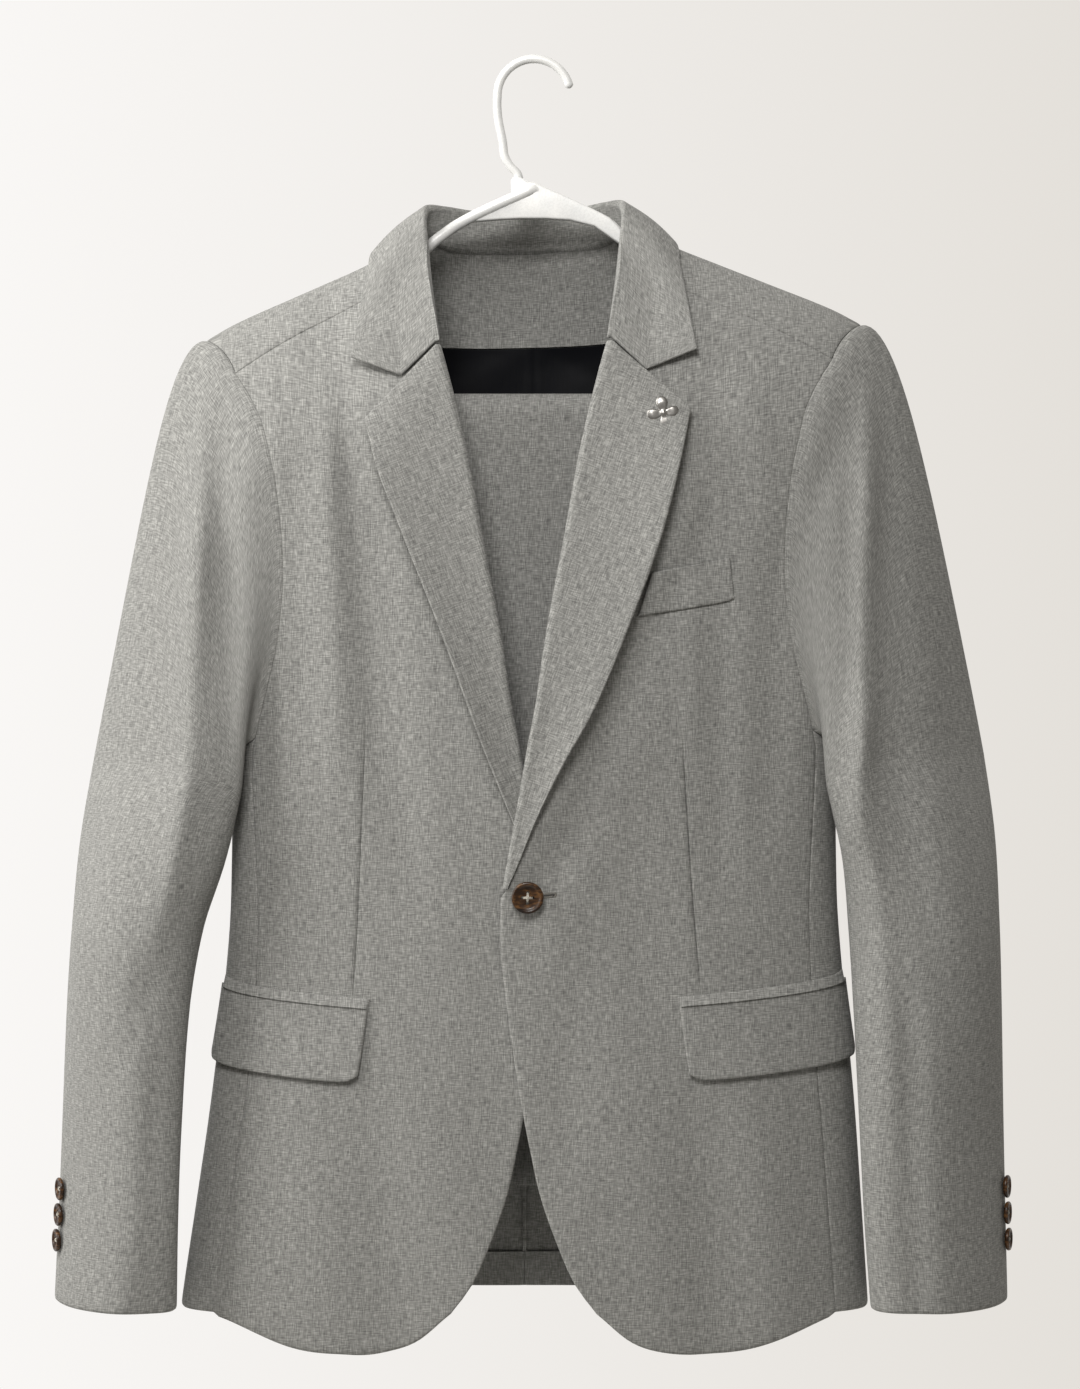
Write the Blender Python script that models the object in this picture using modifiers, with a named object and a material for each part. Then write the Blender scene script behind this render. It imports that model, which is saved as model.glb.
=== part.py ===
"""Two-piece suit hanging on a plastic hanger.

A one-button jacket with notch lapels, and trousers folded over the hanger's bar.
Sizes are in millimetres until a mesh is made. +X is the wearer's left, -Y the front, +Z up.
The origin is the underside of the hook's crown, where a rail carries the hanger.

The body of the jacket is one surface. A point on it is given by x and by the run t, which
is measured over the shoulder ridge: negative down the front, positive down the back.
"""
import bmesh
import bpy
from collections import namedtuple
from math import acos, asin, atan2, cos, hypot, pi, radians, sin
from mathutils import Vector

MM = 0.001
WALL = 1.5          # suiting with its interlining
THIN = 1.0          # facing, lining, jets and turn-ups
SEAM = 0.3          # each panel stops this far short of its seam line
CLEAR = 0.7         # between cloths that lie on each other
LOOSE = 1.0         # between the fronts and the lapels turned over them
ROOM = 1.9          # between the curved back and what lies against it

# ---- body of the jacket -------------------------------------------------------------
NECK_X = -6.5       # the neck and front edges hang a little to the wearer's right
ROLL_DROP = 110.0   # depth below the ridge at which the cloth hangs plumb
ROLL_POWER = 1.25
GIRTH_POWER = 2.6   # how square the girth is: 2 is an ellipse

Girth = namedtuple("Girth", "z front back half centre")
GIRTHS = [
    Girth(-100, 60, 56, 250, 0),
    Girth(-250, 62, 58, 232, 0),
    Girth(-340, 62, 58, 215, 0),
    Girth(-450, 60, 55, 200.5, 0),
    Girth(-545, 57, 50, 199.5, 0),
    Girth(-603, 57, 50, 203.5, 0),
    Girth(-684, 59, 52, 212, -1),
    Girth(-740, 60, 54, 218, -3),
    Girth(-815, 61, 56, 226, -6),
    Girth(-850, 61, 56, 229, -7),
]
Ridge = namedtuple("Ridge", "x z")
RIDGES = [
    Ridge(-40, -90), Ridge(0, -74), Ridge(40, -90), Ridge(73, -111.5), Ridge(100, -126),
    Ridge(115, -133), Ridge(157, -150.5), Ridge(196, -167), Ridge(217, -178.5), Ridge(260, -204),
]
TILT_HIGH = 0.024   # the wearer's left shoulder hangs higher, less so towards the hem
TILT_FROM, TILT_TO = -250.0, -800.0

# Seam lines, for the wearer's left; x is measured from the seam's own centre.
Spot = namedtuple("Spot", "x z")
HEM_FRONT = [Spot(202, -820), Spot(151, -838), Spot(113, -842), Spot(88, -840), Spot(67, -832),
             Spot(47, -815)]
FRONT_EDGE = [Spot(47, -815), Spot(33, -796), Spot(21.5, -770), Spot(11, -740), Spot(4, -708),
              Spot(-2.5, -674), Spot(-9.5, -626), Spot(-14.5, -582), Spot(-14.5, -547)]
ROLL_LINE = [Spot(-14.5, -547), Spot(-10.5, -523), Spot(-3.5, -484), Spot(2.5, -449),
             Spot(7.5, -423), Spot(14.5, -376), Spot(25.5, -317), Spot(35.5, -262),
             Spot(45, -221), Spot(53.5, -189)]
NECK_TURN = [Spot(53.5, -189), Spot(60, -166), Spot(69, -151), Spot(80, -143)]
SHOULDER_SEAM = [Spot(80, -143), Spot(107, -157), Spot(156, -180), Spot(195, -202)]
SIDE_SEAM = [Spot(203, -818), Spot(190, -703), Spot(185, -658), Spot(181, -600),
             Spot(180, -550), Spot(184, -465), Spot(182, -443)]
BACK_SEAM = [Spot(202, -818), Spot(188, -703), Spot(180, -600), Spot(179, -550), Spot(184, -443)]
ARMHOLE_FRONT = [Spot(182, -443), Spot(174.5, -414), Spot(168, -387), Spot(164, -360),
                 Spot(162.5, -335), Spot(163.5, -306), Spot(168, -270), Spot(174, -244),
                 Spot(181, -225), Spot(195, -202)]
Run = namedtuple("Run", "x run")
NECKLINE_BACK = [Run(0, 57), Run(30, 49), Run(53, 33), Run(68, 15), Run(73, 0)]
UNDERARM_Z = -456.0
BACK_HEM_Z = -815.0
LAP = [(-300, 0.0), (-430, 7.6), (-560, 7.0), (-650, 3.6), (-740, 2.6), (-850, 2.4)]
LAP_FROM, LAP_TO = 80.0, 22.0   # the over front rises between these distances from the centre

# rows and columns of cloth
EDGE_ROWS, ROLL_ROWS, NECK_ROWS = 6, 9, 3
SIDE_ROWS = 7
FRONT_COLS, SIDE_COLS = 9, 4
NECK_COLS, SHOULDER_COLS = 6, 6
ARM_FRONT_ROWS = EDGE_ROWS + ROLL_ROWS + NECK_ROWS - SIDE_ROWS
RIDGE_SHARES = (0, 0.34, 0.68, 1)               # rows of the back between seam and ridge
RIDGE_RUNS = (12, 26, 41, 58, 80, 112, 160, 215)    # rows of the back below the ridge
ARM_BACK_ROWS = len(RIDGE_SHARES) + len(RIDGE_RUNS)
NECK_REACH = 112.0      # how far below the ridge the rows still follow the neckline's shape


def mix(a, b, share):
    return a + (b - a) * share


def clamp(value, low=0.0, high=1.0):
    return max(low, min(high, value))


def ease(share):
    share = clamp(share)
    return share * share * (3 - 2 * share)


def read(table, at, column=1):
    """Smooth value of a column at a place in a table sorted on its first column."""
    rows = sorted(table, key=lambda row: row[0])
    at = clamp(at, rows[0][0], rows[-1][0])
    i = max(k for k in range(len(rows) - 1) if rows[k][0] <= at or k == 0)

    def slope(k):
        low, high = rows[max(k - 1, 0)], rows[min(k + 1, len(rows) - 1)]
        return (high[column] - low[column]) / (high[0] - low[0])

    width = rows[i + 1][0] - rows[i][0]
    s = (at - rows[i][0]) / width
    rise = rows[i + 1][column] - rows[i][column]
    a = slope(i) * width - rise
    b = rise - slope(i + 1) * width
    return rows[i][column] + rise * s + s * (1 - s) * ((1 - s) * a + s * b)


def ridge(x):
    """Height of the shoulder ridge, which is even about the neck's centre and the arms' own."""
    centre = NECK_X * (1 - ease((abs(x) - 60) / 60))
    return read(RIDGES, abs(x - centre))


def run_of(x, z, side=-1):
    """Run over the ridge of the point at x and z, on the front (-1) or the back (1)."""
    drop = max(0.0, ridge(x) - z)
    if drop >= ROLL_DROP:
        return side * drop
    return side * ROLL_DROP * acos((1 - drop / ROLL_DROP) ** (1 / ROLL_POWER)) * 2 / pi


def plumb(x, z, side):
    """Distance in front of or behind the hanger's plane, below the shoulder's roll."""
    depth = read(GIRTHS, z, 1 if side < 0 else 2)
    across = clamp(abs(x - read(GIRTHS, z, 4)) / read(GIRTHS, z, 3))
    return side * depth * (1 - across ** GIRTH_POWER) ** (1 / GIRTH_POWER)


def body(x, run):
    """Point of the jacket's outer face."""
    side = -1 if run < 0 else 1
    turn = abs(run) / ROLL_DROP * pi / 2
    rolled = turn < pi / 2
    drop = ROLL_DROP * (1 - cos(turn) ** ROLL_POWER) if rolled else abs(run)
    z = ridge(x) - drop
    y = plumb(x, z, side) * (sin(turn) ** ROLL_POWER if rolled else 1.0)
    return Vector((x, y, z))


def body_out(x, run, out):
    """Point at a distance from the jacket's outer face, measured square to it."""
    step = 1.0
    across = body(x + step, run) - body(x - step, run)
    down = body(x, run + step) - body(x, run - step)
    normal = across.cross(down).normalized()
    turn = clamp(run / ROLL_DROP, -1, 1) * pi / 2
    if normal.dot(Vector((0, sin(turn), cos(turn)))) < 0:
        normal = -normal
    return body(x, run) + normal * out


def clear_of_body(point, out):
    """The point, moved square to the jacket's outer face until it stands off it far enough."""
    def apart(run):
        return (body(point.x, run) - point).length

    run = min(range(-140, 141, 4), key=apart)
    step = 2.0
    while step > 0.1:
        run = min((run - step, run, run + step), key=apart)
        step /= 2
    foot = body(point.x, run)
    normal = body_out(point.x, run, 1.0) - foot
    short = out - (point - foot).dot(normal)
    return point + normal * max(0.0, short)


def girth_place(x, z):
    """Place round the girth, from 0 at the centre to 0.5 at the side, of x on the front."""
    across = clamp(abs(x - read(GIRTHS, z, 4)) / read(GIRTHS, z, 3))
    return asin(across ** (GIRTH_POWER / 2)) / pi


def girth(place, z, out=0.0):
    """Point at a place round the girth: 0 centre front, 0.5 side, 1 centre back."""
    turn = place * pi
    side = -1 if cos(turn) > 0 else 1
    depth = read(GIRTHS, z, 1 if side < 0 else 2) + out
    x = (read(GIRTHS, z, 3) + out) * abs(sin(turn)) ** (2 / GIRTH_POWER)
    return Vector((x, side * depth * abs(cos(turn)) ** (2 / GIRTH_POWER), z))


def front_y(x, z):
    return body(x, run_of(x, z, -1)).y


def lap_rise(x, z):
    """How far the over front stands off, at x from the centre of the front."""
    return read(LAP, z) * ease((LAP_FROM - x) / (LAP_FROM - LAP_TO))


def hang(point):
    """The whole jacket tilts slightly, as it hangs."""
    x, y, z = point
    tilt = TILT_HIGH * clamp((z - TILT_TO) / (TILT_FROM - TILT_TO))
    return Vector((x, y, z + tilt * x))


# ---- curves and patches -------------------------------------------------------------
def walk(points, count):
    """Count + 1 points, evenly spaced along a smooth curve through the given ones."""
    given = [Vector(p) for p in points]
    ends = [2 * given[0] - given[1]] + given + [2 * given[-1] - given[-2]]
    fine = []
    steps = 12
    for i in range(1, len(ends) - 2):
        a, b, c, d = ends[i - 1:i + 3]
        for k in range(steps):
            s = k / steps
            fine.append(0.5 * (2 * b + (c - a) * s + (2 * a - 5 * b + 4 * c - d) * s * s
                               + (3 * b - a - 3 * c + d) * s ** 3))
    fine.append(given[-1])
    lengths = [0.0]
    for p, q in zip(fine, fine[1:]):
        lengths.append(lengths[-1] + (q - p).length)
    result = []
    k = 0
    for i in range(count + 1):
        goal = lengths[-1] * i / count
        while k < len(fine) - 2 and lengths[k + 1] < goal:
            k += 1
        result.append(fine[k].lerp(fine[k + 1], (goal - lengths[k]) / (lengths[k + 1] - lengths[k])))
    return result


def patch(left, right, low, high, shares=None):
    """Grid of points between four edges: left and right run upwards, low and high across.

    The shares say how far each row follows the high edge's shape, from 0 to 1."""
    rows, cols = len(left) - 1, len(low) - 1
    grid = []
    for i in range(rows + 1):
        v = shares[i] if shares else i / rows
        row = []
        for j in range(cols + 1):
            u = j / cols
            corners = (low[0].lerp(low[-1], u)).lerp(high[0].lerp(high[-1], u), v)
            row.append(left[i].lerp(right[i], u) + low[j].lerp(high[j], v) - corners)
        grid.append(row)
    return grid


def trim(grid, gap=SEAM):
    """The grid with its four edges drawn in by the seam's gap."""
    def drawn(line):
        line = [p.copy() for p in line]
        line[0] += (line[1] - line[0]).normalized() * gap
        line[-1] += (line[-2] - line[-1]).normalized() * gap
        return line

    rows = [drawn(row) for row in grid]
    columns = [drawn(column) for column in zip(*rows)]
    return [list(row) for row in zip(*columns)]


# ---- objects ------------------------------------------------------------------------
def fresh_collection(name):
    for old in list(bpy.data.objects):
        bpy.data.objects.remove(old)
    made = bpy.data.collections.new(name)
    bpy.context.scene.collection.children.link(made)
    return made


def finish(name, color, roughness, metallic=0.0):
    made = bpy.data.materials.new(name)
    made.use_nodes = True
    shader = made.node_tree.nodes["Principled BSDF"]
    shader.inputs["Base Color"].default_value = (*color, 1)
    shader.inputs["Roughness"].default_value = roughness
    shader.inputs["Metallic"].default_value = metallic
    made.diffuse_color = (*color, 1)
    return made


SUIT = fresh_collection("two_piece_suit")
CUTTERS = bpy.data.collections.new("cutters")
bpy.context.scene.collection.children.link(CUTTERS)
WOOL = finish("wool_suiting", (0.21, 0.21, 0.18), 0.9)
SATIN = finish("satin_lining", (0.006, 0.007, 0.014), 0.4)
HORN = finish("horn_button", (0.06, 0.035, 0.025), 0.35)
SILVER = finish("silver_pin", (0.6, 0.57, 0.54), 0.3, 1.0)
PLASTIC = finish("white_plastic", (0.8, 0.8, 0.82), 0.3)


def place(name, data, material, collection=None):
    obj = bpy.data.objects.new(name, data)
    (collection or SUIT).objects.link(obj)
    data.materials.append(material)
    return obj


def mesh_from(bm, name):
    mesh = bpy.data.meshes.new(name)
    bm.to_mesh(mesh)
    bm.free()
    return mesh


def cloth(name, grid, inside, material=WOOL, wall=WALL):
    """A wall of cloth whose outer face is the grid; inside is a point on its hollow side."""
    rows, cols = len(grid), len(grid[0])
    bm = bmesh.new()
    bmesh.ops.create_grid(bm, x_segments=cols - 1, y_segments=rows - 1, size=1.0)
    bm.verts.ensure_lookup_table()
    flat = [point for row in grid for point in row]
    for vert, point in zip(bm.verts, flat):
        vert.co = point * MM
    bm.normal_update()
    inside = Vector(inside) * MM
    facing = sum((f.normal.dot(f.calc_center_median() - inside) * f.calc_area() for f in bm.faces))
    if facing < 0:
        bmesh.ops.reverse_faces(bm, faces=bm.faces)
    mesh = mesh_from(bm, name)
    mesh.shade_smooth()
    obj = place(name, mesh, material)
    wall_made = obj.modifiers.new("wall", "SOLIDIFY")
    wall_made.thickness = wall * MM
    wall_made.offset = -1.0
    wall_made.use_even_offset = True
    return obj


# ---- fronts, sides and backs --------------------------------------------------------
def own(side, spot, centre=0.0):
    """A seam table's row as a place (x, run) on the front of one side."""
    x = side * spot.x + centre
    return Vector((x, run_of(x, spot.z, -1), 0))


def behind(side, spot, centre=0.0):
    x = side * spot.x + centre
    return Vector((x, run_of(x, spot.z, 1), 0))


def low_centre(z):
    return read(GIRTHS, z, 4)


def shoulder_line(side, count):
    first, last = SHOULDER_SEAM[0].x, SHOULDER_SEAM[-1].x
    return walk([own(side, s, NECK_X * (last - s.x) / (last - first)) for s in SHOULDER_SEAM], count)


def side_line(side, seam, place_on, count):
    return walk([place_on(side, s, low_centre(s.z)) for s in seam], count)


def armhole_front(side):
    return walk([own(side, s) for s in ARMHOLE_FRONT], ARM_FRONT_ROWS)


ARMHOLE_BACK = [Spot(184, -443), Spot(176, -395), Spot(172, -345), Spot(173, -300),
                Spot(178, -255), Spot(187, -222), Spot(202, -197)]
SHOULDER_POINT = 216.5


def armhole_back(side):
    """Up the back, over the shoulder point and down to the shoulder seam."""
    places = [behind(side, s) for s in ARMHOLE_BACK]
    places += [Vector((side * SHOULDER_POINT, 0, 0)), own(side, SHOULDER_SEAM[-1])]
    table = [(p.y, p.x) for p in places]
    runs = [places[-1].y * (1 - share) for share in RIDGE_SHARES] + list(RIDGE_RUNS) + [places[0].y]
    return [Vector((read(table, run), run, 0)) for run in reversed(runs)]


ROLL_BACK = 4.6     # the front's own edge lies this far inside the lapel's fold
BREAK_RUN = 6.0     # height above the break over which the edge steps back


def front_places(side):
    start = Spot(ROLL_LINE[0].x, ROLL_LINE[0].z + BREAK_RUN)
    shift = [Spot(s.x + ROLL_BACK, s.z) for s in [start] + ROLL_LINE[1:]]
    turn = [shift[-1]] + NECK_TURN[1:]
    inner = walk([own(side, s, NECK_X) for s in FRONT_EDGE], EDGE_ROWS)
    inner += walk([own(side, s, NECK_X) for s in shift], ROLL_ROWS - 1)
    inner += walk([own(side, s, NECK_X) for s in turn], NECK_ROWS)[1:]
    outer = side_line(side, SIDE_SEAM, own, SIDE_ROWS) + armhole_front(side)[1:]
    hem = walk([own(side, s, NECK_X) for s in reversed(HEM_FRONT)], FRONT_COLS)
    hem[-1] = outer[0].copy()
    return trim(patch(inner, outer, hem, shoulder_line(side, FRONT_COLS)))


def front_point(side, place_on):
    """The outer face of a front, with the rise of the left one where it laps over."""
    point = body(place_on.x, place_on.y)
    if side > 0:
        point.y -= lap_rise(point.x - NECK_X, point.z)
    return point


def front_face(side, x, z):
    """Depth of a front's outer face at x and z."""
    return front_y(x, z) - (lap_rise(x - NECK_X, z) if side > 0 else 0.0)


def front(side, name):
    grid = [[hang(front_point(side, p)) for p in row] for row in front_places(side)]
    return cloth(name, grid, (0, 60, -450))


def back_places(side):
    centre_low = Vector((NECK_X, run_of(NECK_X, BACK_HEM_Z, 1), 0))
    neck = [Vector((side * s.x + NECK_X, s.run, 0)) for s in NECKLINE_BACK]
    shoulder = shoulder_line(side, SHOULDER_COLS)
    neck.append(shoulder[0])
    top = neck[0].y
    neck_share = NECK_COLS / (NECK_COLS + SHOULDER_COLS)
    # the run of the shoulder seam that keeps one row on the ridge
    seam_run = (-shoulder[0].y + neck_share * shoulder[-1].y) / (1 - neck_share)
    runs = [top + seam_run * share for share in RIDGE_SHARES] + [top + seam_run + r for r in RIDGE_RUNS]
    yoke_line = [Vector((NECK_X, run, 0)) for run in reversed(runs)]
    inner = walk([centre_low, yoke_line[0]], SIDE_ROWS + 1)[:-1] + yoke_line
    outer = side_line(side, BACK_SEAM, behind, SIDE_ROWS) + armhole_back(side)[1:]
    cols = NECK_COLS + SHOULDER_COLS
    across = [mix(NECK_X, outer[0].x, k / cols) for k in range(cols)]
    hem = [Vector((x, run_of(x, BACK_HEM_Z, 1), 0)) for x in across] + [outer[0].copy()]
    shares = [0.0] * (SIDE_ROWS + 1) + [clamp(1 - r / NECK_REACH) for r in reversed(RIDGE_RUNS)]
    shares += [1.0] * len(RIDGE_SHARES)
    return patch(inner, outer, hem, walk(neck, NECK_COLS) + shoulder[1:], shares)


def back(side, name):
    grid = [[hang(body(p.x, p.y)) for p in row] for row in trim(back_places(side))]
    return cloth(name, grid, (0, -60, -450))


def side_points(side):
    front_line = side_line(side, SIDE_SEAM, own, SIDE_ROWS)
    back_line = side_line(side, BACK_SEAM, behind, SIDE_ROWS)
    grid = []
    for i, (a, b) in enumerate(zip(front_line, back_line)):
        a, b = body(a.x, a.y), body(b.x, b.y)
        row = []
        for j in range(SIDE_COLS + 1):
            u = j / SIDE_COLS
            sag = (UNDERARM_Z - a.z) * sin(pi * u) * (i / SIDE_ROWS) ** 4
            z = mix(a.z, b.z, u) + (sag if i == SIDE_ROWS else sag * 0.5)
            at = mix(girth_place(a.x, a.z), 1 - girth_place(b.x, b.z), u)
            point = girth(at, z)
            row.append(Vector((side * point.x + low_centre(z), point.y, z)))
        grid.append(row)
    return grid


def side_panel(side, name):
    grid = [[hang(p) for p in row] for row in trim(side_points(side), 1.5 * SEAM)]
    return cloth(name, grid, (0, 0, -600))


# ---- sleeves ------------------------------------------------------------------------
Ring = namedtuple("Ring", "z outer inner mid depth lean")
SLEEVE_LEFT = [
    Ring(-470, 299, 192, -4, 108, 40),
    Ring(-520, 305, 202, -8, 107, 26),
    Ring(-570, 307, 206, -11, 104, 14),
    Ring(-620, 308, 209, -14, 100, 8),
    Ring(-700, 309, 213, -17, 93, 5),
    Ring(-760, 310, 216, -19, 90, 4),
    Ring(-815, 311, 220, -20, 86, 4),
]
SLEEVE_RIGHT = [
    Ring(-470, 294, 192, -4, 108, 40),
    Ring(-520, 301, 203, -8, 107, 26),
    Ring(-570, 305, 217, -11, 104, 14),
    Ring(-620, 308, 225, -14, 100, 8),
    Ring(-700, 311, 230, -17, 93, 5),
    Ring(-760, 313, 232, -19, 90, 4),
    Ring(-815, 315, 233, -20, 86, 4),
]
CAP_ROWS, ARM_ROWS = 6, 8
SLEEVE_SEAM, ARMHOLE_SEAM = 0.55, 1.1   # more than SEAM, because the walls meet at an angle
RING_POWER = 2.3
ARMPIT_DROP = 12.0      # the first whole ring dips towards the armpit
HIND_SEAM = ARM_FRONT_ROWS + ARM_BACK_ROWS - 2
# Turn round the sleeve of its main columns: 0 is outward, 90 forward, in degrees. The seams
# wind from the armhole to the forearm.
Turn = namedtuple("Turn", "column high low")
TURNS = [
    Turn(0, 140, 170), Turn(ARM_FRONT_ROWS, 25, 62), Turn(HIND_SEAM, -102, -50),
    Turn(HIND_SEAM + 2, -140, -88), Turn(HIND_SEAM + 2 + SIDE_COLS, -220, -190),
]
WIND = 260.0            # the length over which they wind


def armhole_loop(side):
    """Armhole from the front corner up, over the shoulder, down the back and under the arm."""
    loop = [front_point(side, p) for p in armhole_front(side)]
    loop += [body(p.x, p.y) for p in reversed(armhole_back(side))][1:]
    loop += list(reversed(side_points(side)[-1]))[1:]
    return loop


def loop_turns(low):
    """Turn of each column round the sleeve, low from 0 at the armhole to 1 at the forearm."""
    turns = []
    for a, b in zip(TURNS, TURNS[1:]):
        for column in range(a.column, b.column):
            share = (column - a.column) / (b.column - a.column)
            turns.append(radians(mix(mix(a.high, b.high, share), mix(a.low, b.low, share), low)))
    return turns + [radians(mix(TURNS[-1].high, TURNS[-1].low, low))]


def ring_point(side, rings, z, turn):
    outer, inner, mid, depth, lean = (read(rings, z, k) for k in range(1, 6))
    half = (outer - inner) / 2
    wide = (half ** 2 - lean ** 2) ** 0.5
    c = abs(cos(turn)) ** (2 / RING_POWER) * (1 if cos(turn) > 0 else -1)
    s = abs(sin(turn)) ** (2 / RING_POWER) * (1 if sin(turn) > 0 else -1)
    dip = ARMPIT_DROP * clamp(1 - (rings[0].z - z) / 90) * cos(turn)
    x = (outer + inner) / 2 + wide * c - lean * s
    return Vector((side * x, mid - depth / 2 * s, z + dip))


def sleeve_grid(side, rings):
    """Rows from the armhole to the cuff, columns round the loop."""
    loop = armhole_loop(side)
    turns = loop_turns(0.0)
    top, cuff = rings[0].z, rings[-1].z
    grid = []
    for i in range(CAP_ROWS):
        t = i / CAP_ROWS
        row = []
        for hole, turn in zip(loop, turns):
            ring = ring_point(side, rings, top, turn)
            fall = hole.z - ring.z
            a = hole + Vector((side * SEAM, 0, 0))
            b = hole + Vector((side * (8 + 0.085 * fall), 0, 0.02 * fall))
            c = ring + Vector((-side * 0.06 * fall, 0, 0.33 * fall))
            s = 1 - t
            row.append(hang(a * s ** 3 + b * 3 * s * s * t + c * 3 * s * t * t + ring * t ** 3))
        grid.append(row)
    for i in range(ARM_ROWS + 1):
        z = mix(top, cuff, i / ARM_ROWS)
        turns = loop_turns(ease((top - z) / WIND))
        grid.append([hang(ring_point(side, rings, z, turn)) for turn in turns])
    return grid


def cut_columns(grid, first, last):
    """A run of a grid's columns, drawn in by the seam's gap at its two long edges."""
    rows = []
    for i, row in enumerate(grid):
        gap = mix(ARMHOLE_SEAM, SLEEVE_SEAM, clamp(i / CAP_ROWS))
        line = [p.copy() for p in row[first:last + 1]]
        line[0] += (line[1] - line[0]).normalized() * gap
        line[-1] += (line[-2] - line[-1]).normalized() * gap
        rows.append(line)
    return rows


def sleeve(side, rings, tag):
    grid = sleeve_grid(side, rings)
    inside = (side * 255, 0, -480)
    cloth(f"sleeve_top_{tag}", cut_columns(grid, 0, HIND_SEAM), inside)
    cloth(f"sleeve_under_{tag}", cut_columns(grid, HIND_SEAM, len(grid[0]) - 1), inside)


# ---- collar and lapels --------------------------------------------------------------
# From the centre back to the gorge; x is from the neck's centre. Roll and edge are points, neck
# and stand are places (x, run) on the panels: under their edge and at the collar's seam.
Stay = namedtuple("Stay", "roll edge neck stand dip")
STAYS = [
    Stay((0, 33, -94), (0, 53, -140), (0, 57, 0), (0, 61.5, 0), 0),
    Stay((30, 29, -93), (42, 48, -139), (30, 49, 0), (31, 53, 0), 0),
    Stay((51, 17, -91), (76, 33, -135), (53, 34, 0), (55, 38, 0), 0),
    Stay((62, 4, -92), (99, 0, -121.5), (71, 6, 0), (73.5, 7, 0), 0),
    Stay((64, -11, -101), (103, -30, -142), (75, -16, 0), (79, -16, 0), 0),
    Stay((62.5, -25, -120), (106, -42, -160), (79, -44, 0), (85, -44, 0), 2),
    Stay((60, -38, -144), (109, -52, -179), (67, -62, 0), (74, -62, 0), 8),
    Stay((53.5, -56.5, -188), (112, -58, -196), (57, -88, 0), (61, -87, 0), 18),
]
COLLAR_COLS = 2
FOLD = 3.3          # outer radius of the collar's and lapels' fold
LEAF_COLS = 5
SHOULDER_ROW = 4.1      # the stand lies deeper round this row, where the neckline turns
STAND_DEEPER = 2.3
DEEPER_REACH = 1.6      # rows on either side that share in it
GORGE_TURN_FROM = 5.4   # from this row on, the fold turns level to meet the lapel's
NOTCH_AT = 2        # column of the leaf that ends in the notch
LEAF_LIFT = ROOM + WALL     # outer face of the turned-down leaf, off the panels
UNDER = WALL + ROOM + WALL  # the stand's face towards the neck, inside the panels' outer face


def along(rows, at):
    """Smooth vector value of a list of rows at a row number with a fraction."""
    i = int(clamp(at, 0, len(rows) - 1.001))
    s = at - i
    a = Vector(rows[max(i - 1, 0)])
    b, c = Vector(rows[i]), Vector(rows[i + 1])
    d = Vector(rows[min(i + 2, len(rows) - 1)])
    return 0.5 * (2 * b + (c - a) * s + (2 * a - 5 * b + 4 * c - d) * s * s
                  + (3 * b - a - 3 * c + d) * s ** 3)


def collar_row(side, at):
    def spread(p):
        return Vector((side * p.x + NECK_X, p.y, p.z))

    def under(column):
        p = along([getattr(s, column) for s in STAYS], at)
        deeper = STAND_DEEPER * ease(1 - abs(at - SHOULDER_ROW) / DEEPER_REACH)
        return body_out(side * p.x + NECK_X, p.y, -UNDER - deeper)

    roll = spread(along([s.roll for s in STAYS], at))
    edge = clear_of_body(spread(along([s.edge for s in STAYS], at)), LEAF_LIFT)
    neck, stand = under("neck"), under("stand")
    dip = along([(s.dip, 0, 0) for s in STAYS], at).x
    crest = (roll - (stand + edge) / 2).normalized()
    across = edge - stand
    out = (across - crest * across.dot(crest)).normalized()
    level = ease((at - GORGE_TURN_FROM) / (len(STAYS) - 1 - GORGE_TURN_FROM))
    crest = crest.lerp(Vector((-side, 0, 0)), level).normalized()
    out = out.lerp(Vector((0, -1, 0)), level).normalized()
    heart = roll - crest * FOLD
    heart.y = mix(heart.y, front_y(heart.x, heart.z) + WALL / 2, level)
    row = [stand, neck]
    for k in range(5):
        turn = pi * k / 4
        point = heart + (crest * sin(turn) - out * cos(turn)) * FOLD
        row.append(clear_of_body(point, LEAF_LIFT - level * 0.6) if k > 2 else point)
    start = row[-1]
    for k in range(1, LEAF_COLS + 1):
        share = k / LEAF_COLS
        tent = share * LEAF_COLS / NOTCH_AT if k <= NOTCH_AT else (1 - share) / (1 - NOTCH_AT / LEAF_COLS)
        point = start.lerp(edge, share) + out * 2.0 * sin(pi * share) - Vector((0, 0, dip * tent))
        row.append(clear_of_body(point, LEAF_LIFT))
    return [hang(p) for p in row]


def collar():
    last = len(STAYS) - 1
    count = last * COLLAR_COLS
    rows = [collar_row(-1, last * k / count) for k in range(count, 0, -1)]
    rows += [collar_row(1, last * k / count) for k in range(count + 1)]
    return cloth("collar", rows, (NECK_X, 0, -400))


LAPEL_EDGE_LEFT = [Spot(108, -234), Spot(102, -263), Spot(90, -311), Spot(74.5, -356),
                   Spot(48.5, -420), Spot(23.5, -465), Spot(8, -497), Spot(-3, -524),
                   Spot(-10.5, -541)]
LAPEL_EDGE_RIGHT = [Spot(103, -236), Spot(94, -269), Spot(80, -306), Spot(54, -372),
                    Spot(27, -446), Spot(7, -497), Spot(-3, -524), Spot(-10.5, -541)]
LAPEL_ROWS = 13
LEAD_TOP, LEAD_LOW = 11.0, 6.0      # how far the facing runs inside, from the fold
LAPEL_END = Spot(-13.6, -541)
GORGE_GAP = 1.3


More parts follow.
